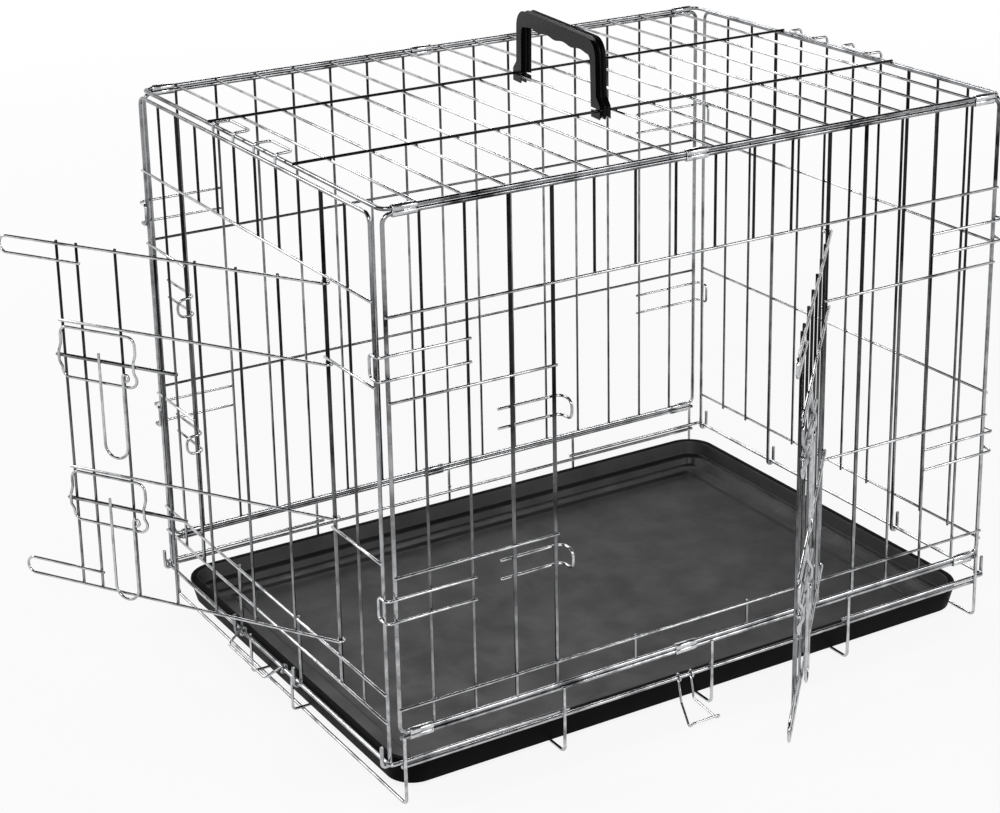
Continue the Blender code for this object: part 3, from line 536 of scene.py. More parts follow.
def tube(mesh, path, diameter, sides=THIN_SIDES, closed=False, mark=RAIL_MARK):
    """A round wire. Its cut ends have a small rounded edge and stay where the path ends."""
    points = [Vector(p) for p in path]
    count = len(points)
    radius = diameter / 2
    up = (points[1] - points[0]).orthogonal().normalized()
    if closed:
        normal = (points[1] - points[0]).cross(points[count // 3] - points[0])
        up = normal.normalized()
    rings = []
    frames = []
    for i, here in enumerate(points):
        before = points[i - 1] if closed or i else here
        after = points[(i + 1) % count] if closed or i < count - 1 else here
        along = (here - before).normalized() + (after - here).normalized()
        along.normalize()
        up = (up - along * up.dot(along)).normalized()
        frames.append((here, along, up.copy(), along.cross(up)))
    edge = radius * CUT_EDGE
    for i, (here, along, top, side) in enumerate(frames):
        if closed or 0 < i < count - 1:
            rings.append(ring_at(mesh, here, top, side, radius, sides))
            continue
        inward = along if i == 0 else -along
        curve = edge * CUT_CURVE
        stages = [(0.0, radius - edge), (curve, radius - curve), (edge, radius)]
        if i:
            stages.reverse()
        for back, size in stages:
            rings.append(ring_at(mesh, here + inward * back, top, side, size, sides))
    if closed:
        skin(mesh, rings + rings[:1], mark)
        return
    skin(mesh, rings, mark)
    mesh.faces.new(rings[0][::-1]).material_index = mark
    mesh.faces.new(rings[-1]).material_index = mark


def nugget(mesh, centre, normal, radius):
    """The flattened bead that a spot weld leaves between two crossing wires."""
    turn = Vector(normal).to_track_quat("Z", "Y").to_matrix().to_4x4()
    width = radius * NUGGET_SPREAD
    size = Matrix.Diagonal((width, width, radius * NUGGET_HEIGHT, 1))
    place = Matrix.Translation(centre) @ turn @ Matrix.Rotation(math.pi / 4, 4, "Z") @ size
    made = bmesh.ops.create_uvsphere(mesh, u_segments=10, v_segments=6, radius=1.0, matrix=place)
    for vert in made["verts"]:
        for face in vert.link_faces:
            face.material_index = NUGGET_MARK


def add_object(name, data):
    item = bpy.data.objects.new(name, data)
    bpy.context.scene.collection.objects.link(item)
    return item


def mesh_object(name, mesh):
    data = bpy.data.meshes.new(name)
    mesh.to_mesh(data)
    mesh.free()
    return add_object(name, data)


def piece(name, node, mesh, materials, sharp):
    """An object that stands for a CAD node and moves with its body."""
    bmesh.ops.recalc_face_normals(mesh, faces=mesh.faces)
    item = mesh_object(name, mesh)
    for surface in materials:
        item.data.materials.append(surface)
    item.data.shade_smooth()
    item.data.set_sharp_from_angle(angle=math.radians(sharp))
    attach(item, BODY_OF[node])
    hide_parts(node)


def wire_piece(node, mesh, turned=None, materials=(WIRE, NUGGET, SHADED_THICK_ZINC, SHADED_ZINC)):
    if turned is not None:
        mesh.transform(turned)
    piece(node + "_wire", node, mesh, materials, WIRE_CREASE)


def mirrored(point):
    return Vector((point.x, -point.y, point.z))


def upright_positions(count, pitch):
    return [pitch * (i - (count - 1) / 2) for i in range(count)]


# Panels


def on_front(across, out, height):
    return Vector((across, -HALF_D - out, height))


def on_end(side):
    def at(along, out, height):
        return Vector((side * (END_X + out), along, height))

    return at


def frame_loop(mesh, low, high, to_world):
    corners = [(-HALF_L, low), (HALF_L, low), (HALF_L, high), (-HALF_L, high)]
    path = rounded([to_world(a, 0, b) for a, b in corners], FRAME_CORNER, closed=True)
    tube(mesh, path, FRAME_WIRE, WIRE_SIDES, closed=True, mark=FRAME_MARK)


def welds(mesh, spots, heights, to_world, normal):
    """Beads where uprights cross rails. The rails lie outside the uprights."""
    for across, low, high in spots:
        for start, end, height in heights:
            if start <= across <= end and low - MESH_WIRE < height < high + MESH_WIRE:
                nugget(mesh, to_world(across, OUTER / 2, height), normal, MESH_WIRE / 2)


def tee_welds(mesh, spots, bottom, top, to_world, normal):
    """Beads where uprights end on the frame wire."""
    deep = FRAME_WIRE * TEE_DEPTH
    radius = MESH_WIRE / 2 * TEE_SPREAD
    for across, low, high in spots:
        if abs(low - bottom) < PIECE_GAP:
            nugget(mesh, to_world(across, 0, bottom + deep), normal, radius)
        if abs(high - top) < PIECE_GAP:
            nugget(mesh, to_world(across, 0, top - deep), normal, radius)


def frame_and_welds(mesh, spots, rails, low, high, to_world, normal):
    """The wire round a panel, and the beads on its crossings and on its uprights' ends."""
    frame_loop(mesh, low, high, to_world)
    edges = [(x, low, high) for x in (-HALF_L, HALF_L)]
    welds(mesh, spots + edges, rails, to_world, normal)
    tee_welds(mesh, spots, low, high, to_world, normal)


def front_panel():
    at = on_front
    mesh = bmesh.new()
    sill = FRONT_SILL_Z
    head = sill + DOOR_HEAD
    left, right = FRONT_JAMBS
    spots = []
    for x in upright_positions(PANEL_UPRIGHTS, PITCH):
        beside = min(abs(x - left), abs(x - right)) < PITCH / 4
        next_to = min(abs(x - left + PITCH), abs(x - right - PITCH)) < PITCH / 4
        diameter = JAMB_WIRE if beside or next_to else MESH_WIRE
        inside = left + PITCH / 4 < x < right - PITCH / 4
        low = head - OUTER if inside else PANEL_BOTTOM_Z
        tube(mesh, [at(x, 0, low), at(x, 0, PANEL_TOP_Z)], diameter, mark=SHADED_MARK)
        spots.append((x, low, PANEL_TOP_Z))
    for x in (left + 2 * PITCH, right - 2 * PITCH):
        ends = [at(x, 0, PANEL_BOTTOM_Z), at(x, 0, sill + OUTER)]
        tube(mesh, ends, MESH_WIRE, mark=SHADED_MARK)
        spots.append((x, PANEL_BOTTOM_Z, sill + OUTER))
    end = HALF_L + FRAME_WIRE / 2
    jamb = JAMB_WIRE / 2 + RAIL_LAP
    rails = [(-end, end, sill), (-end, end, head)]
    for z in (sill + SIDE_RAIL_LOW, sill + SIDE_RAIL_HIGH):
        rails += [(-end, left + jamb, z), (right - jamb, end, z)]
    for a, b, z in rails:
        tube(mesh, [at(a, OUTER, z), at(b, OUTER, z)], MESH_WIRE)
    frame_and_welds(mesh, spots, rails, PANEL_BOTTOM_Z, PANEL_TOP_Z, at, (0, -1, 0))
    # The uprights take the darker zinc copy, painted shade; the rails take the paler one.
    wire_piece("front_panel", mesh, materials=(RAIL, NUGGET, SHADED_THICK_ZINC, SHADED_ZINC))


def back_panel():
    def at(across, out, height):
        return Vector((across, HALF_D + out, height))

    mesh = bmesh.new()
    end = HALF_L + FRAME_WIRE / 2
    spots = [(x, PANEL_BOTTOM_Z, PANEL_TOP_Z) for x in upright_positions(PANEL_UPRIGHTS, PITCH)]
    for x, low, high in spots:
        tube(mesh, [at(x, 0, low), at(x, 0, high)], MESH_WIRE, mark=SHADED_MARK)
    rails = [(-end, end, z) for z in BACK_RAILS]
    for a, b, z in rails:
        tube(mesh, [at(a, OUTER, z), at(b, OUTER, z)], MESH_WIRE)
    frame_and_welds(mesh, spots, rails, PANEL_BOTTOM_Z, PANEL_TOP_Z, at, (0, 1, 0))
    # Back rails and uprights take dark zinc copies, painted shade darkest at the top.
    wire_piece("back_panel", mesh, materials=(BACK_RAIL_SHADED_ZINC, NUGGET, SHADED_THICK_ZINC, BACK_SHADED_ZINC))


def roof_panel():
    def at(across, out, along):
        return Vector((across, along, ROOF_Z + out))

    mesh = bmesh.new()
    end = HALF_L + FRAME_WIRE / 2
    spots = [(x, -HALF_D, HALF_D) for x in upright_positions(PANEL_UPRIGHTS, PITCH)]
    for x, low, high in spots:
        tube(mesh, [at(x, 0, low), at(x, 0, high)], MESH_WIRE)
    bars = [(-end, end, y) for y in (-BAR_Y, BAR_Y)]
    # The bars take the darker zinc copy, painted shade darker than the roof wires.
    for a, b, y in bars:
        tube(mesh, [at(a, OUTER, y), at(b, OUTER, y)], MESH_WIRE, mark=SHADED_MARK)
    frame_and_welds(mesh, spots, bars, -HALF_D, HALF_D, at, (0, 0, 1))
    wire_piece("roof_panel", mesh)


def hooked_upright(at, y, top):
    low = at(y, 0, END_RAIL_Z)
    centre = at(y, HOOK_RADIUS, END_RAIL_Z)
    outward = at(y, 1, END_RAIL_Z) - at(y, 0, END_RAIL_Z)
    axis = Vector((0, 0, -1)).cross(outward)
    bend = arc(centre, low, axis, 180, HOOK_STEPS)
    tip = bend[-1] + Vector((0, 0, HOOK_RISE))
    return [at(y, 0, top)] + bend + [tip]


def end_panel(name, side, rails, short_rails, jambs, hooked, hooked_top):
    at = on_end(side)
    mesh = bmesh.new()
    near = hooked_upright(at, -END_EDGE_Y, END_TOP_Z)
    far = hooked_upright(at, END_EDGE_Y, END_TOP_Z)
    top = rounded([near[1], near[0], far[0], far[1]], END_CORNER, END_CORNER_STEPS)
    tube(mesh, near[:0:-1] + top[1:-1] + far[1:], END_WIRE, WIRE_SIDES, mark=FRAME_MARK)
    spots = [(-END_EDGE_Y, END_RAIL_Z, END_TOP_Z), (END_EDGE_Y, END_RAIL_Z, END_TOP_Z)]
    tees = []
    for y in upright_positions(END_UPRIGHTS, END_PITCH):
        taken = any(abs(j - y) < END_PITCH / 4 for j in hooked)
        if taken and hooked_top == END_TOP_Z:
            continue
        low = rails[0] - MESH_WIRE
        if jambs and abs(y) < jambs[1] - END_PITCH / 4:
            low = rails[-1] - OUTER
        diameter = JAMB_WIRE if jambs and abs(abs(y) - jambs[1]) < END_PITCH / 4 else MESH_WIRE
        tube(mesh, [at(y, 0, low), at(y, 0, END_TOP_Z)], diameter, mark=SHADED_MARK)
        spots.append((y, low, END_TOP_Z))
        tees.append((y, low, END_TOP_Z))
    for y in hooked:
        tube(mesh, hooked_upright(at, y, hooked_top), END_WIRE, WIRE_SIDES, mark=SHADED_MARK)
        spots.append((y, END_RAIL_Z, hooked_top))
        tees.append((y, END_RAIL_Z, hooked_top))
    end = END_EDGE_Y + END_WIRE / 2
    cross = [(-end, end, z) for z in rails]
    for z in short_rails:
        inner = jambs[1] - JAMB_WIRE / 2 - RAIL_LAP
        cross += [(-end, -inner, z), (inner, end, z)]
    for a, b, z in cross:
        tube(mesh, [at(a, OUTER, z), at(b, OUTER, z)], MESH_WIRE)
    welds(mesh, spots, cross, at, (side, 0, 0))
    tee_welds(mesh, tees, -1, END_TOP_Z, at, (side, 0, 0))
    wire_piece(name, mesh)


def single(node, path, diameter, closed=False, turned=None):
    """A piece made of one bent wire."""
    mesh = bmesh.new()
    tube(mesh, path, diameter, closed=closed)
    wire_piece(node, mesh, turned, (WIRE,))


def roof_hook(name, side, middle):
    low = END_TOP_Z + END_WIRE / 2 + PIECE_GAP
    high = ROOF_Z + FRAME_WIRE / 2 + MESH_WIRE / 2 + ROOF_HOOK_RISE
    x = side * END_X
    inner = side * (END_X - ROOF_HOOK_REACH)
    a, b = middle - END_PITCH / 2, middle + END_PITCH / 2
    corners = [(x, a, low), (x, a, high), (inner, a, high)]
    corners += [(inner, b, high), (x, b, high), (x, b, low)]
    single(name, rounded(corners, HOOK_CORNER), MESH_WIRE)


def corner_hook(name, side_x, side_y, height):
    layer = side_y * (HALF_D + FRAME_WIRE / 2 + MESH_WIRE / 2 + PIECE_GAP - HOOK_EASE)
    outside = side_x * (END_X + END_WIRE / 2 + MESH_WIRE / 2 + RUNNING_GAP)
    behind = side_y * (END_EDGE_Y - HOOK_GRIP)
    tail = side_x * (HALF_L - HOOK_LENGTH)
    low, high = height - HOOK_HALF, height + HOOK_HALF
    corners = [
        (tail, layer, low),
        (outside, layer, low),
        (outside, behind, low),
        (outside, behind, high),
        (outside, layer, high),
        (tail, layer, high),
    ]
    single(name, rounded(corners, HOOK_CORNER), MESH_WIRE)


def base_frame():
    mesh = bmesh.new()
    foot_y = HALF_D + (FRAME_WIRE + FOOT_WIRE) / 2 - FOOT_PRESS
    for y in (-HALF_D, HALF_D):
        for z, diameter in ((RIM_Z, FRAME_WIRE), (LOWER_RAIL_Z, BASE_WIRE)):
            rail = [(-HALF_L, y, z), (HALF_L, y, z)]
            tube(mesh, rail, diameter, WIRE_SIDES, mark=FRAME_MARK)
    for side in (-1, 1):
        inner = side * (FOOT_PITCH - END_RAIL_TAIL)
        x = side * END_RAIL_X
        corners = [(inner, -HALF_D, END_RAIL_Z), (x, -HALF_D, END_RAIL_Z), (x, HALF_D, END_RAIL_Z)]
        corners.append((inner, HALF_D, END_RAIL_Z))
        tube(mesh, rounded(corners, END_RAIL_CORNER), BASE_WIRE, WIRE_SIDES, mark=FRAME_MARK)
    for x in upright_positions(FEET, FOOT_PITCH):
        corners = [(x, -foot_y, FOOT_TOP_Z), (x, -foot_y, FOOT_WIRE / 2)]
        corners += [(x, foot_y, FOOT_WIRE / 2), (x, foot_y, FOOT_TOP_Z)]
        tube(mesh, rounded(corners, FOOT_CORNER), FOOT_WIRE)
        for y in (-HALF_D, HALF_D):
            for z in (RIM_Z, END_RAIL_Z, LOWER_RAIL_Z):
                touch = y + math.copysign(BASE_WIRE / 2, y)
                nugget(mesh, Vector((x, touch, z)), (0, 1, 0), FOOT_WIRE / 2)
    floor_x = END_RAIL_X - (BASE_WIRE + MESH_WIRE) / 2 + WELD
    for y in (-FLOOR_WIRE_Y, FLOOR_WIRE_Y):
        corners = [(-floor_x, y, FLOOR_WIRE_TOP), (-floor_x, y, FLOOR_WIRE_Z)]
        corners += [(floor_x, y, FLOOR_WIRE_Z), (floor_x, y, FLOOR_WIRE_TOP)]
        tube(mesh, rounded(corners, FLOOR_WIRE_CORNER), MESH_WIRE)
        for x in (-END_RAIL_X, END_RAIL_X):
            touch = x - math.copysign(BASE_WIRE / 2, x)
            nugget(mesh, Vector((touch, y, END_RAIL_Z)), (1, 0, 0), MESH_WIRE / 2)
        for x in upright_positions(FEET, FOOT_PITCH):
            nugget(mesh, Vector((x, y, FOOT_WIRE)), (0, 0, 1), MESH_WIRE / 2)
    wire_piece("base_frame", mesh)


# Sleeve clips


def sleeve_clip(name, x, y, low_rail, seam):
    """A strip of sheet rolled round two rails, pinched between them, with softened ends."""
    inner = FRAME_WIRE / 2 + RUNNING_GAP
    high_rail = low_rail + RAIL_STEP
    middle = (low_rail + high_rail) / 2
    steps = CLIP_STEPS

    def outline(radius, crease):
        """Two round lobes that meet in a crease on the side away from the seam."""
        past = CLIP_LOBE
        rim = []
        for i in range(steps + 1):
            t = math.radians(-past + (180 + 2 * past) * i / steps)
            rim.append((radius * math.cos(t), high_rail + radius * math.sin(t)))
        rim.append((crease - radius, middle))
        for i in range(steps + 1):
            t = math.radians(180 - past + (180 + 2 * past) * i / steps)
            rim.append((radius * math.cos(t), low_rail + radius * math.sin(t)))
        return rim

    def ring_points(grow, along):
        radius = inner + CLIP_WALL + grow
        outer = outline(radius, CLIP_PINCH)
        seam_x = radius - CLIP_PINCH
        inside = outline(inner, CLIP_PINCH - CLIP_WALL * CLIP_INNER_CREASE)
        deep = seam_x - CLIP_WALL * CLIP_SEAM_DEPTH
        start, end = (seam_x, middle + CLIP_SEAM / 2), (seam_x, middle - CLIP_SEAM / 2)
        first, last = (deep, middle + CLIP_SEAM / 2), (deep, middle - CLIP_SEAM / 2)
        loop = [start] + outer + [end, last] + inside[::-1] + [first]
        return [Vector((x + along, y + seam * a, b)) for a, b in loop]

    mesh = bmesh.new()
    half = CLIP_LENGTH / 2
    stations = [(-half + CLIP_EDGE * a, -CLIP_EDGE * b) for a, b in CLIP_END_CURVE]
    stations += [(-along, grow) for along, grow in reversed(stations)]
    loops = [[mesh.verts.new(p) for p in ring_points(grow, along)] for along, grow in stations]
    skin(mesh, loops)
    for loop, flip in ((loops[0], True), (loops[-1], False)):
        face = mesh.faces.new(loop[::-1] if flip else loop)
        bmesh.ops.triangulate(mesh, faces=[face])
    piece(name + "_sleeve", name, mesh, (SLEEVE,), SHEET_CREASE)


# Doors and latches


def keeper(name, at, jamb, tail, height):
    inner = -(JAMB_WIRE / 2 + MESH_WIRE / 2 + PIECE_GAP)
    low, high = height - KEEPER_HALF, height + KEEPER_HALF
    corners = [
        at(tail, inner, low),
        at(jamb, inner, low),
        at(jamb, KEEPER_REACH, low),
        at(jamb, KEEPER_REACH, high),
        at(jamb, inner, high),
        at(tail, inner, high),
    ]
    single(name, rounded(corners, KEEPER_CORNER), MESH_WIRE)


def hinge_eye(height, radius):
    return arc((0, 0, height), (0, radius, height), (0, 0, 1), HINGE_EYE_TURN, EYE_STEPS)


def door(name, opening, sill, turned):
    mesh = bmesh.new()
    edge = opening - DOOR_EDGE_GAP
    heights = [sill + z for z in DOOR_RAILS]
    tips = {0: heights[0] + DOOR_TIP_WIDTH, len(heights) - 1: heights[-1] - DOOR_TIP_WIDTH}
    for i, z in enumerate(heights):
        eye = hinge_eye(z, DOOR_LAYER)[::-1]
        if i in tips:
            back = tips[i]
            middle = (opening + DOOR_TIP_PAST - DOOR_TIP_WIDTH / 2, DOOR_LAYER, (z + back) / 2)
            start = (middle[0], DOOR_LAYER, z)
            round_end = arc(middle, start, (0, -1 if i == 0 else 1, 0), 180, DOOR_TIP_STEPS)
            run = round_end + [(opening - DOOR_TIP_SHORT, DOOR_LAYER, back)]
        else:
            run = [(edge + MESH_WIRE, DOOR_LAYER, z)]
        tube(mesh, eye + [Vector(p) for p in run], MESH_WIRE)
    spots = [DOOR_FIRST_CELL + PITCH * i for i in range(DOOR_UPRIGHTS)] + [edge]
    low, high = heights[0] - DOOR_STUB, heights[-1] + DOOR_STUB
    between = (DOOR_LAYER + DOOR_MESH_LAYER) / 2
    for x in spots:
        ends = [(x, DOOR_MESH_LAYER, low), (x, DOOR_MESH_LAYER, high)]
        tube(mesh, ends, MESH_WIRE, mark=SHADED_MARK)
        for z in heights:
            nugget(mesh, Vector((x, between, z)), (0, 1, 0), MESH_WIRE / 2)
    for back in tips.values():
        for x in (spots[-1], spots[-2]):
            if x > opening - DOOR_TIP_SHORT:
                nugget(mesh, Vector((x, between, back)), (0, 1, 0), MESH_WIRE / 2)
    wire_piece(name, mesh, turned)


def latch_bracket(name, opening, height, turned):
    low, high = height - BRACKET_BOTTOM, height + BRACKET_TOP
    bow, foot = BRACKET_BOW, BRACKET_FOOT
    layer = BRACKET_LAYER
    start, end = opening - BRACKET_START, opening - BRACKET_END
    outline = [(start, layer, low), (start, layer, high), (end, layer, high), (end, layer, low)]
    bends = rounded(outline, BRACKET_CORNER, BRACKET_STEPS, closed=True)
    per = BRACKET_STEPS + 1
    bowed = [(-foot, layer), (-bow, OVER_BOLT), (bow, OVER_BOLT), (foot, layer)]
    rise, fall = [
        rounded([Vector((x, y, height + z)) for z, y in side], BRACKET_BOW_CORNER, BOW_STEPS)
        for x, side in ((start, bowed), (end, bowed[::-1]))
    ]
    path = bends[:per] + rise + bends[per : 3 * per] + fall + bends[3 * per :]
    single(name, path, MESH_WIRE, True, turned)


def latch_bolt(name, opening, height, turned):
    """The bolt has a bullet nose on the end that goes into the keeper."""
    mesh = bmesh.new()
    radius = BOLT_WIRE / 2
    start, end = opening - BOLT_START, opening - BOLT_END
    stations = [(start + radius * along, radius * size) for along, size in BOLT_TAIL]
    nose = BOLT_NOSE * radius
    for i in range(NOSE_STEPS + 1):
        t = math.pi / 2 * i / NOSE_STEPS
        size = max(radius * math.cos(t), radius * BOLT_TIP)
        stations.append((end - nose + nose * math.sin(t), size))
    rings = []
    for x, size in stations:
        here = Vector((x, BOLT_LAYER, height))
        rings.append(ring_at(mesh, here, Vector((0, 1, 0)), Vector((0, 0, 1)), size, BOLT_SIDES))
    skin(mesh, rings)
    mesh.faces.new(rings[0][::-1])
    mesh.faces.new(rings[-1])
    wire_piece(name, mesh, turned, (SHADED_THICK_ZINC,))


def latch_handle(name, opening, height, turned):
    middle = opening - HANDLE_MIDDLE
    left = middle + HANDLE_WIDTH / 2
    right = middle - HANDLE_WIDTH / 2
    y = OVER_BOLT
    bottom = height - HANDLE_DROP + HANDLE_WIDTH / 2
    leg = [Vector((left, y, height + HANDLE_STUB)), Vector((left, y, bottom))]
    bend = arc((middle, y, bottom), (left, y, bottom), (0, 1, 0), 180, LOOP_STEPS)[1:]
    ring_z = height - HANDLE_CURL_DROP
    centre, start = (right - HANDLE_CURL, y, ring_z), (right, y, ring_z)
    ring = arc(centre, start, (0, -1, 0), HANDLE_CURL_TURN, LOOP_STEPS)
    single(name, leg + bend + ring, MESH_WIRE, False, turned)


def door_set(prefix, hinge, turn, opening, sill):
    turned = Matrix.Translation(hinge) @ Matrix.Rotation(turn, 4, "Z")
    door(prefix + "_door", opening, sill, turned)
    for label, rise in zip(("lower", "upper"), BOLT_HEIGHTS):
        height = sill + rise
        latch_bracket(f"{prefix}_bracket_{label}", opening, height, turned)
        latch_bolt(f"{prefix}_bolt_{label}", opening, height, turned)
        latch_handle(f"{prefix}_handle_{label}", opening, height, turned)


# Tray


def tray():
    """The pan: rolled rim, sloping wall, two soft steps and a flat floor."""
    base = TRAY_BOTTOM_Z
    floor = base + TRAY_WALL
    step = floor + TRAY_STEP
    lip = floor + TRAY_LIP
    corners = [
        (TRAY_UNDERSIDE, base),
        (TRAY_HEEL[0], base),
        (TRAY_HEEL[1], base + TRAY_HEEL_RISE),
        (0.0, TRAY_TOP_Z - TRAY_NECK),
        (TRAY_RIM[0], TRAY_TOP_Z),
        (TRAY_RIM[1], TRAY_TOP_Z),
        (TRAY_SHELF[0], step + TRAY_SHELF_RISE),
        (TRAY_SHELF[1], step),
        (TRAY_LEDGE[0], lip + TRAY_LEDGE_RISE),
        (TRAY_LEDGE[1], lip),
        (TRAY_FLOOR[0], floor),
        (TRAY_FLOOR[1], floor),
    ]
    soft = rounded([Vector((a, 0, b)) for a, b in corners], TRAY_SOFTENING, TRAY_STEPS)
    profile = [(p.x, p.z) for p in soft]
    mesh = bmesh.new()
    loops = []
    for inset, z in profile:
        half_x, half_y = TRAY_HALF_X - inset, TRAY_HALF_Y - inset
        square = [(-half_x, -half_y, z), (half_x, -half_y, z)]
        square += [(half_x, half_y, z), (-half_x, half_y, z)]
        radius = max(TRAY_CORNER - inset, TRAY_INNER_CORNER)
        path = rounded(square, radius, TRAY_CORNER_STEPS, closed=True)
        loops.append([mesh.verts.new(p) for p in path])
    rim = max(i for i, (_, z) in enumerate(profile) if z > TRAY_TOP_Z - PIECE_GAP)
    skin(mesh, loops[: rim + 1])
    # Inner faces take the inside material, whose paler colour is partly painted sheen.
    skin(mesh, loops[rim:], 1)
    mesh.faces.new(loops[0][::-1])
    mesh.faces.new(loops[-1]).material_index = 1
    piece("tray_pan", "tray", mesh, (PAN, PAN_INSIDE), TRAY_CREASE)


# Small wire forms


def wrapped_bail(pivots, axis, arm, eye_radius, outline):
    """A bent wire whose two ends are curled round a rail at the pivots."""
    side = Vector(axis).cross(arm).normalized()
    eyes = [arc(p, p + side * eye_radius, axis, EYE_TURN, EYE_STEPS)[::-1] for p in pivots]
    return eyes[0] + outline + eyes[1][::-1]


def pan_stop():
    tilt = math.radians(PAN_STOP_TILT)
    arm = Vector((-math.cos(tilt), 0, -math.sin(tilt)))
    eye = BASE_WIRE / 2 + RUNNING_GAP + MESH_WIRE / 2
    centre = Vector((-END_RAIL_X, 0, END_RAIL_Z))
    pivots = [centre + Vector((0, share * END_PITCH, 0)) for share in PAN_STOP_SHARES]
    side = Vector((0, 1, 0)).cross(arm).normalized() * eye
    reach = side + arm * PAN_STOP_REACH
    taper = Vector((0, PAN_STOP_TAPER, 0))
    corners = [pivots[0] + side, pivots[0] + reach + taper]
    corners += [pivots[1] + reach - taper, pivots[1] + side]
    outline = rounded(corners, HOOK_CORNER)
    single("pan_stop", wrapped_bail(pivots, (0, 1, 0), arm, eye, outline[1:-1]), MESH_WIRE)


def fold_clasp():
    tilt = math.radians(CLASP_TILT)
    arm = Vector((0, -math.sin(tilt), -math.cos(tilt)))
    eye = BASE_WIRE / 2 + RUNNING_GAP + CLASP_WIRE / 2
    centre = Vector((0, -HALF_D, LOWER_RAIL_Z))
    pivots = [centre + Vector((x, 0, 0)) for x in CLASP_X]
    side = Vector((1, 0, 0)).cross(arm).normalized() * eye
    hook = Vector(CLASP_TIP)
    bow = Vector(CLASP_BOW)
    neck = arm * CLASP_LENGTH * CLASP_NECK
    belly = arm * CLASP_LENGTH * CLASP_SPREAD + bow
    halves = []
    for pivot, x in zip(pivots, CLASP_TIP_X):
        tip = centre + Vector((x, 0, 0)) + side + arm * CLASP_LENGTH
        root = pivot + side
        halves.append([root, root + neck, root + belly, tip, tip + hook])
    outline = rounded(halves[0] + halves[1][::-1], CLASP_CORNER)
    single("fold_clasp", wrapped_bail(pivots, (1, 0, 0), arm, eye, outline[1:-1]), CLASP_WIRE)


# Carry handle


def cut(item, tool_mesh):
    tool = mesh_object("tool", tool_mesh)
    change = item.modifiers.new("cut", "BOOLEAN")
    change.operation = "DIFFERENCE"
    change.solver = "EXACT"
    change.object = tool
    bpy.context.view_layer.update()
    graph = bpy.context.evaluated_depsgraph_get()
    result = bpy.data.meshes.new_from_object(item.evaluated_get(graph))
    item.modifiers.clear()
    item.data = result
    bpy.data.objects.remove(tool, do_unlink=True)


def block(size, centre):
    mesh = bmesh.new()
    bmesh.ops.create_cube(mesh, size=1.0)
    mesh.transform(Matrix.Translation(centre) @ Matrix.Diagonal((*size, 1)))
    return mesh


def grip_outline(bar_z):
    """The grip's outline in its own plane: the outside, then the inside with its scallops."""
    top = ROOF_Z + GRIP_TOP
    under = top - GRIP_THICK
    foot_low = bar_z - MESH_WIRE / 2 - FOOT_BELOW_BAR
    foot_high = bar_z + GRIP_FOOT_RISE
    foot = [Vector((0, GRIP_HALF_FOOT, foot_low)), Vector((0, GRIP_HALF_FOOT, foot_high))]
    leg = [Vector((0, GRIP_HALF_LEG, bar_z + GRIP_SHOULDER)), Vector((0, GRIP_HALF_TOP, top))]
    ankle = rounded(foot + leg, GRIP_FOOT_CORNER, ANKLE_STEPS)[:-1]
    corner = rounded([ankle[-1], leg[1], mirrored(leg[1])], GRIP_CORNER, GRIP_CORNER_STEPS)[1:-1]
    outer = ankle + corner
    inner_top = GRIP_HALF_TOP - GRIP_LEG
    half_span = inner_top - GRIP_SPLAY
    steps = SCALLOP_STEPS * SCALLOPS
    scallops = []
    for i in range(steps + 1):
        share = i / steps
        wave = SCALLOP_DEPTH * (1 - math.cos(2 * math.pi * SCALLOPS * share)) / 2
        scallops.append(Vector((0, half_span * (1 - 2 * share), under + wave)))
    near = [Vector((0, GRIP_HALF_LEG - GRIP_LEG, foot_low))]
    near += [Vector((0, inner_top, under - GRIP_SPLAY)), scallops[0]]
    soft = rounded(near, GRIP_INNER_CORNER, GRIP_INNER_STEPS)
    outline = [mirrored(p) for p in outer] + outer[::-1]
    return outline + soft[:-1] + scallops[:-1] + [mirrored(p) for p in reversed(soft)]


def grip_stations():
    """Places across the grip, and how far its outline is drawn in at each.

    The outline is whole at the outer faces and drawn in by GRIP_EDGE inside them, so a
    channel runs round the grip on each side of the parting line.
    """
    stations = []
    for i in range(GRIP_EDGE_STEPS + 1):
        drawn_in = GRIP_EDGE * (1 - math.sin(math.pi / 2 * i / GRIP_EDGE_STEPS))
        stations.append((drawn_in - GRIP_WIDTH / 2, drawn_in))
    stations.sort()
    return stations + list(PARTING_LINE) + [(-x, inset) for x, inset in reversed(stations)]


def grip_mesh(outline):
    count = len(outline)
    normals = []
    for i in range(count):
        ahead = (outline[(i + 1) % count] - outline[i - 1]).normalized()
        normals.append(Vector((0, ahead.z, -ahead.y)))
    area = sum(a.y * b.z - b.y * a.z for a, b in zip(outline, outline[1:] + outline[:1]))
    sense = 1 if area > 0 else -1
    mesh = bmesh.new()
    loops = []
    for x, inset in grip_stations():
        spots = [here - normal * sense * inset for here, normal in zip(outline, normals)]
        loops.append([mesh.verts.new((x, spot.y, spot.z)) for spot in spots])
    skin(mesh, loops)
    mesh.faces.new(loops[0][::-1])
    mesh.faces.new(loops[-1])
    bmesh.ops.recalc_face_normals(mesh, faces=mesh.faces)
    turn = Matrix.Rotation(math.radians(GRIP_TURN), 4, "Z")
    mesh.transform(Matrix.Translation((GRIP_SHIFT, 0, 0)) @ turn)
    return mesh


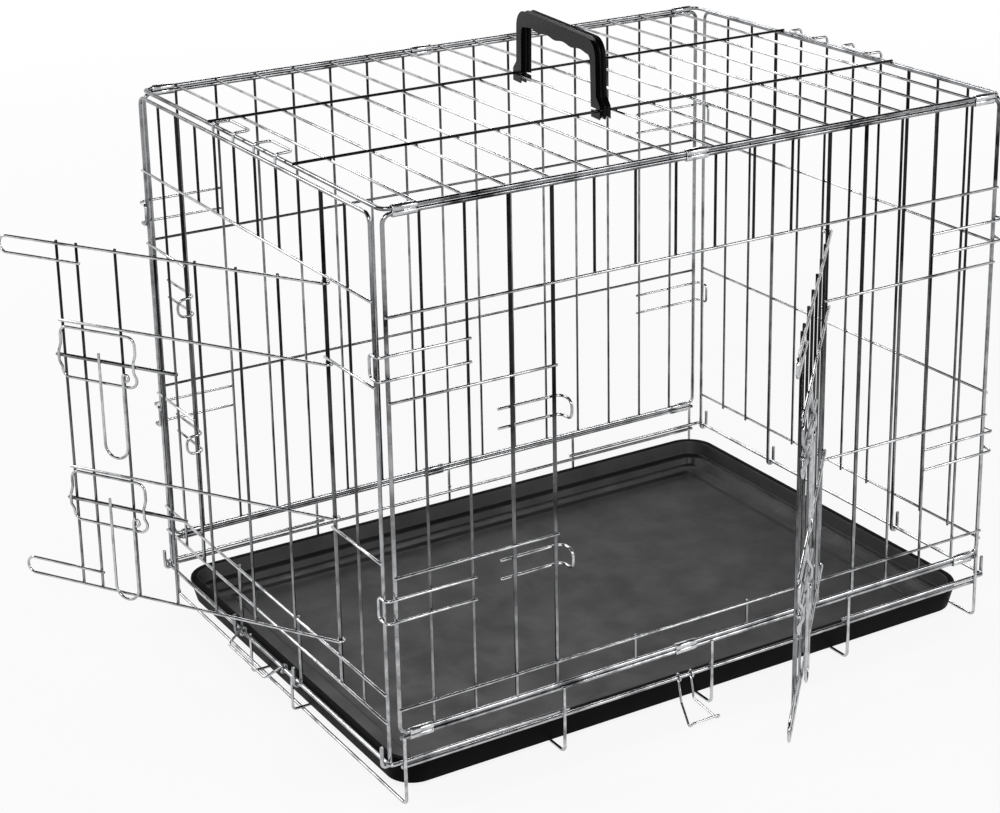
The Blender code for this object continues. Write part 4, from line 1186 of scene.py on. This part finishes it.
def carry_handle():
    """The moulded grip, with finger scallops and a parting line, cut out for the roof's bars."""
    bar_z = ROOF_Z + OUTER
    item = mesh_object("carry_handle_grip", grip_mesh(grip_outline(bar_z)))
    wide = MESH_WIRE + 2 * PIECE_GAP
    relief_z = ROOF_Z + MESH_WIRE / 2 + PIECE_GAP - RELIEF_DEPTH / 2
    reach = 2 * GRIP_WIDTH
    mouth = GRIP_HALF_FOOT - (GRIP_HALF_LEG - GRIP_LEG)
    for side in (-1, 1):
        y = side * BAR_Y
        bar = bmesh.new()
        tube(bar, [(-reach, y, bar_z), (reach, y, bar_z)], wide, BORE_SIDES)
        bmesh.ops.recalc_face_normals(bar, faces=bar.faces)
        cut(item, bar)
        cut(item, block((wide, RELIEF_LENGTH, RELIEF_DEPTH), (0, y, relief_z)))
        opening = (2 * reach, mouth, MOUTH_SHARE * wide)
        cut(item, block(opening, (0, y - side * mouth / 2, bar_z)))
    item.data.materials.clear()
    item.data.materials.append(GRIP)
    item.data.shade_smooth()
    item.data.set_sharp_from_angle(angle=math.radians(GRIP_CREASE))
    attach(item, BODY_OF["carry_handle"])
    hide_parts("carry_handle")


# Stage, light and camera


def lamp(name, size, power, place):
    data = bpy.data.lights.new(name, "AREA")
    data.shape = "RECTANGLE"
    data.size, data.size_y = size
    data.energy = power
    item = add_object(name, data)
    item.location = place
    item.rotation_euler = (Vector(LAMP_AIM) - Vector(place)).to_track_quat("-Z", "Y").to_euler()


def background_rays(tree):
    """One for camera, glossy and transmission rays, which see the background itself."""
    rays = tree.nodes.new("ShaderNodeLightPath")
    seen = tree.nodes.new("ShaderNodeMath")
    seen.operation = "MAXIMUM"
    tree.links.new(rays.outputs["Is Camera Ray"], seen.inputs[0])
    tree.links.new(rays.outputs["Is Glossy Ray"], seen.inputs[1])
    through = tree.nodes.new("ShaderNodeMath")
    through.operation = "MAXIMUM"
    tree.links.new(seen.outputs[0], through.inputs[0])
    tree.links.new(rays.outputs["Is Transmission Ray"], through.inputs[1])
    return through.outputs[0]


def stage():
    mesh = bmesh.new()
    bmesh.ops.create_grid(mesh, x_segments=1, y_segments=1, size=FLOOR_HALF)
    floor = mesh_object("floor", mesh)
    made, nodes, links, shader = tree_of("pale_floor")
    shader.inputs["Base Color"].default_value = FLOOR_PAINT
    shader.inputs["Roughness"].default_value = FLOOR_ROUGHNESS
    shader.inputs["Specular IOR Level"].default_value = FLOOR_SHINE
    glow = nodes.new("ShaderNodeEmission")
    glow.inputs["Strength"].default_value = 1.0
    mix = nodes.new("ShaderNodeMixShader")
    share = nodes.new("ShaderNodeMath")
    share.operation = "MULTIPLY"
    place = nodes.new("ShaderNodeTexCoord").outputs["Object"]
    away = nodes.new("ShaderNodeVectorMath")
    away.operation = "LENGTH"
    links.new(place, away.inputs[0])
    fade = nodes.new("ShaderNodeMapRange")
    fade.inputs["From Min"].default_value, fade.inputs["From Max"].default_value = FLOOR_FADE
    fade.inputs["To Min"].default_value = FLOOR_GLOW
    fade.inputs["To Max"].default_value = 1.0
    links.new(away.outputs["Value"], fade.inputs["Value"])
    links.new(background_rays(made.node_tree), share.inputs[0])
    links.new(fade.outputs["Result"], share.inputs[1])
    links.new(share.outputs[0], mix.inputs["Fac"])
    links.new(shader.outputs["BSDF"], mix.inputs[1])
    links.new(glow.outputs["Emission"], mix.inputs[2])
    links.new(mix.outputs["Shader"], nodes["Material Output"].inputs["Surface"])
    floor.data.materials.append(made)
    world = bpy.data.worlds.new("studio")
    bpy.context.scene.world = world
    world.use_nodes = True
    tree = world.node_tree
    shade = tree.nodes["Background"]
    facing = tree.nodes.new("ShaderNodeTexCoord").outputs["Generated"]
    parts = tree.nodes.new("ShaderNodeSeparateXYZ")
    tree.links.new(facing, parts.inputs["Vector"])
    low, high = WALL_TOP
    wall = [(0.0, (1, 1, 1)), (low, (1, 1, 1)), (high, CEILING), (1.0, CEILING)]
    tree.links.new(ramp(tree.nodes, tree.links, parts.outputs["Z"], wall), shade.inputs["Color"])
    level = tree.nodes.new("ShaderNodeMapRange")
    level.inputs["To Min"].default_value = ROOM_LIGHT
    level.inputs["To Max"].default_value = 1.0
    tree.links.new(background_rays(tree), level.inputs["Value"])
    tree.links.new(level.outputs["Result"], shade.inputs["Strength"])


def camera():
    data = bpy.data.cameras.new("camera")
    item = add_object("camera", data)
    data.sensor_fit = "HORIZONTAL"
    data.sensor_width = SENSOR_WIDTH
    data.lens = CAMERA_FOCAL * data.sensor_width
    data.shift_x, data.shift_y = CAMERA_SHIFT
    data.clip_start = CAMERA_NEAR
    turn = Matrix.Rotation(Vector(CAMERA_TURN).length, 3, Vector(CAMERA_TURN).normalized())
    right, down, ahead = turn.row[0], turn.row[1], turn.row[2]
    axes = Matrix((right, -down, -ahead)).transposed().to_4x4()
    item.matrix_world = Matrix.Translation(CAMERA_PLACE) @ axes
    bpy.context.scene.camera = item


def clips():
    places = (("front", -HALF_D, 1, FRONT_BASE_CLIPS), ("back", HALF_D, -1, CLIP_CENTRES))
    for label, y, seam, base_clips in places:
        for i, (low_x, high_x) in enumerate(zip(base_clips, CLIP_CENTRES), 1):
            sleeve_clip(f"{label}_base_clip_{i}", low_x, y, RIM_Z, seam)
            sleeve_clip(f"{label}_roof_clip_{i}", high_x, y, PANEL_TOP_Z, seam)


def end_panels():
    """The left end has the doorway, so its middle hooked uprights stop at the sill."""
    head = END_SILL_Z + DOOR_HEAD
    shorts = (END_SILL_Z + SIDE_RAIL_LOW, END_SILL_Z + SIDE_RAIL_HIGH)
    lefts = (LEFT_BOTTOM_RAIL, END_SILL_Z, head)
    under = 1.5 * END_PITCH
    jambs = (-END_JAMB_Y, END_JAMB_Y)
    end_panel("left_end_panel", -1, lefts, shorts, jambs, (-under, under), END_SILL_Z + OUTER)
    through = 2.5 * END_PITCH
    end_panel("right_end_panel", 1, RIGHT_RAILS, (), None, (-through, through), END_TOP_Z)


def hooks():
    for label, side in (("left", -1), ("right", 1)):
        for i, middle in enumerate((-END_PITCH, END_PITCH), 1):
            roof_hook(f"{label}_roof_hook_{i}", side, middle)
    for label, side_y, heights in (("front", -1, FRONT_HOOKS), ("back", 1, BACK_HOOKS)):
        for end, side_x in (("left", -1), ("right", 1)):
            for level, height in zip(("lower", "upper"), heights):
                corner_hook(f"{label}_{end}_hook_{level}", side_x, side_y, height)


def keepers():
    for level, rise in zip(("lower", "upper"), BOLT_HEIGHTS):
        spot = FRONT_JAMBS[0] + KEEPER_PAST_JAMB
        tail = FRONT_JAMBS[0] - PITCH - KEEPER_TAIL
        keeper(f"front_keeper_{level}", on_front, spot, tail, FRONT_SILL_Z + rise)
        spot = END_JAMB_Y - KEEPER_PAST_JAMB
        tail = END_JAMB_Y + END_PITCH + KEEPER_TAIL
        keeper(f"left_keeper_{level}", on_end(-1), spot, tail, END_SILL_Z + rise)


def doors():
    hinge = Vector((FRONT_JAMBS[1], -HALF_D, 0))
    turn = math.radians(180 + FRONT_DOOR_ANGLE)
    door_set("front", hinge, turn, FRONT_JAMBS[1] - FRONT_JAMBS[0], FRONT_SILL_Z)
    hinge = Vector((-END_X, -END_JAMB_Y, 0))
    turn = math.radians(90 + LEFT_DOOR_ANGLE)
    door_set("left", hinge, turn, 2 * END_JAMB_Y, END_SILL_Z)


base_frame()
tray()
pan_stop()
fold_clasp()
front_panel()
back_panel()
roof_panel()
carry_handle()
clips()
end_panels()
hooks()
keepers()
doors()
stage()
for values in LAMPS:
    lamp(*values)
camera()
bpy.context.scene.view_settings.view_transform = "Standard"
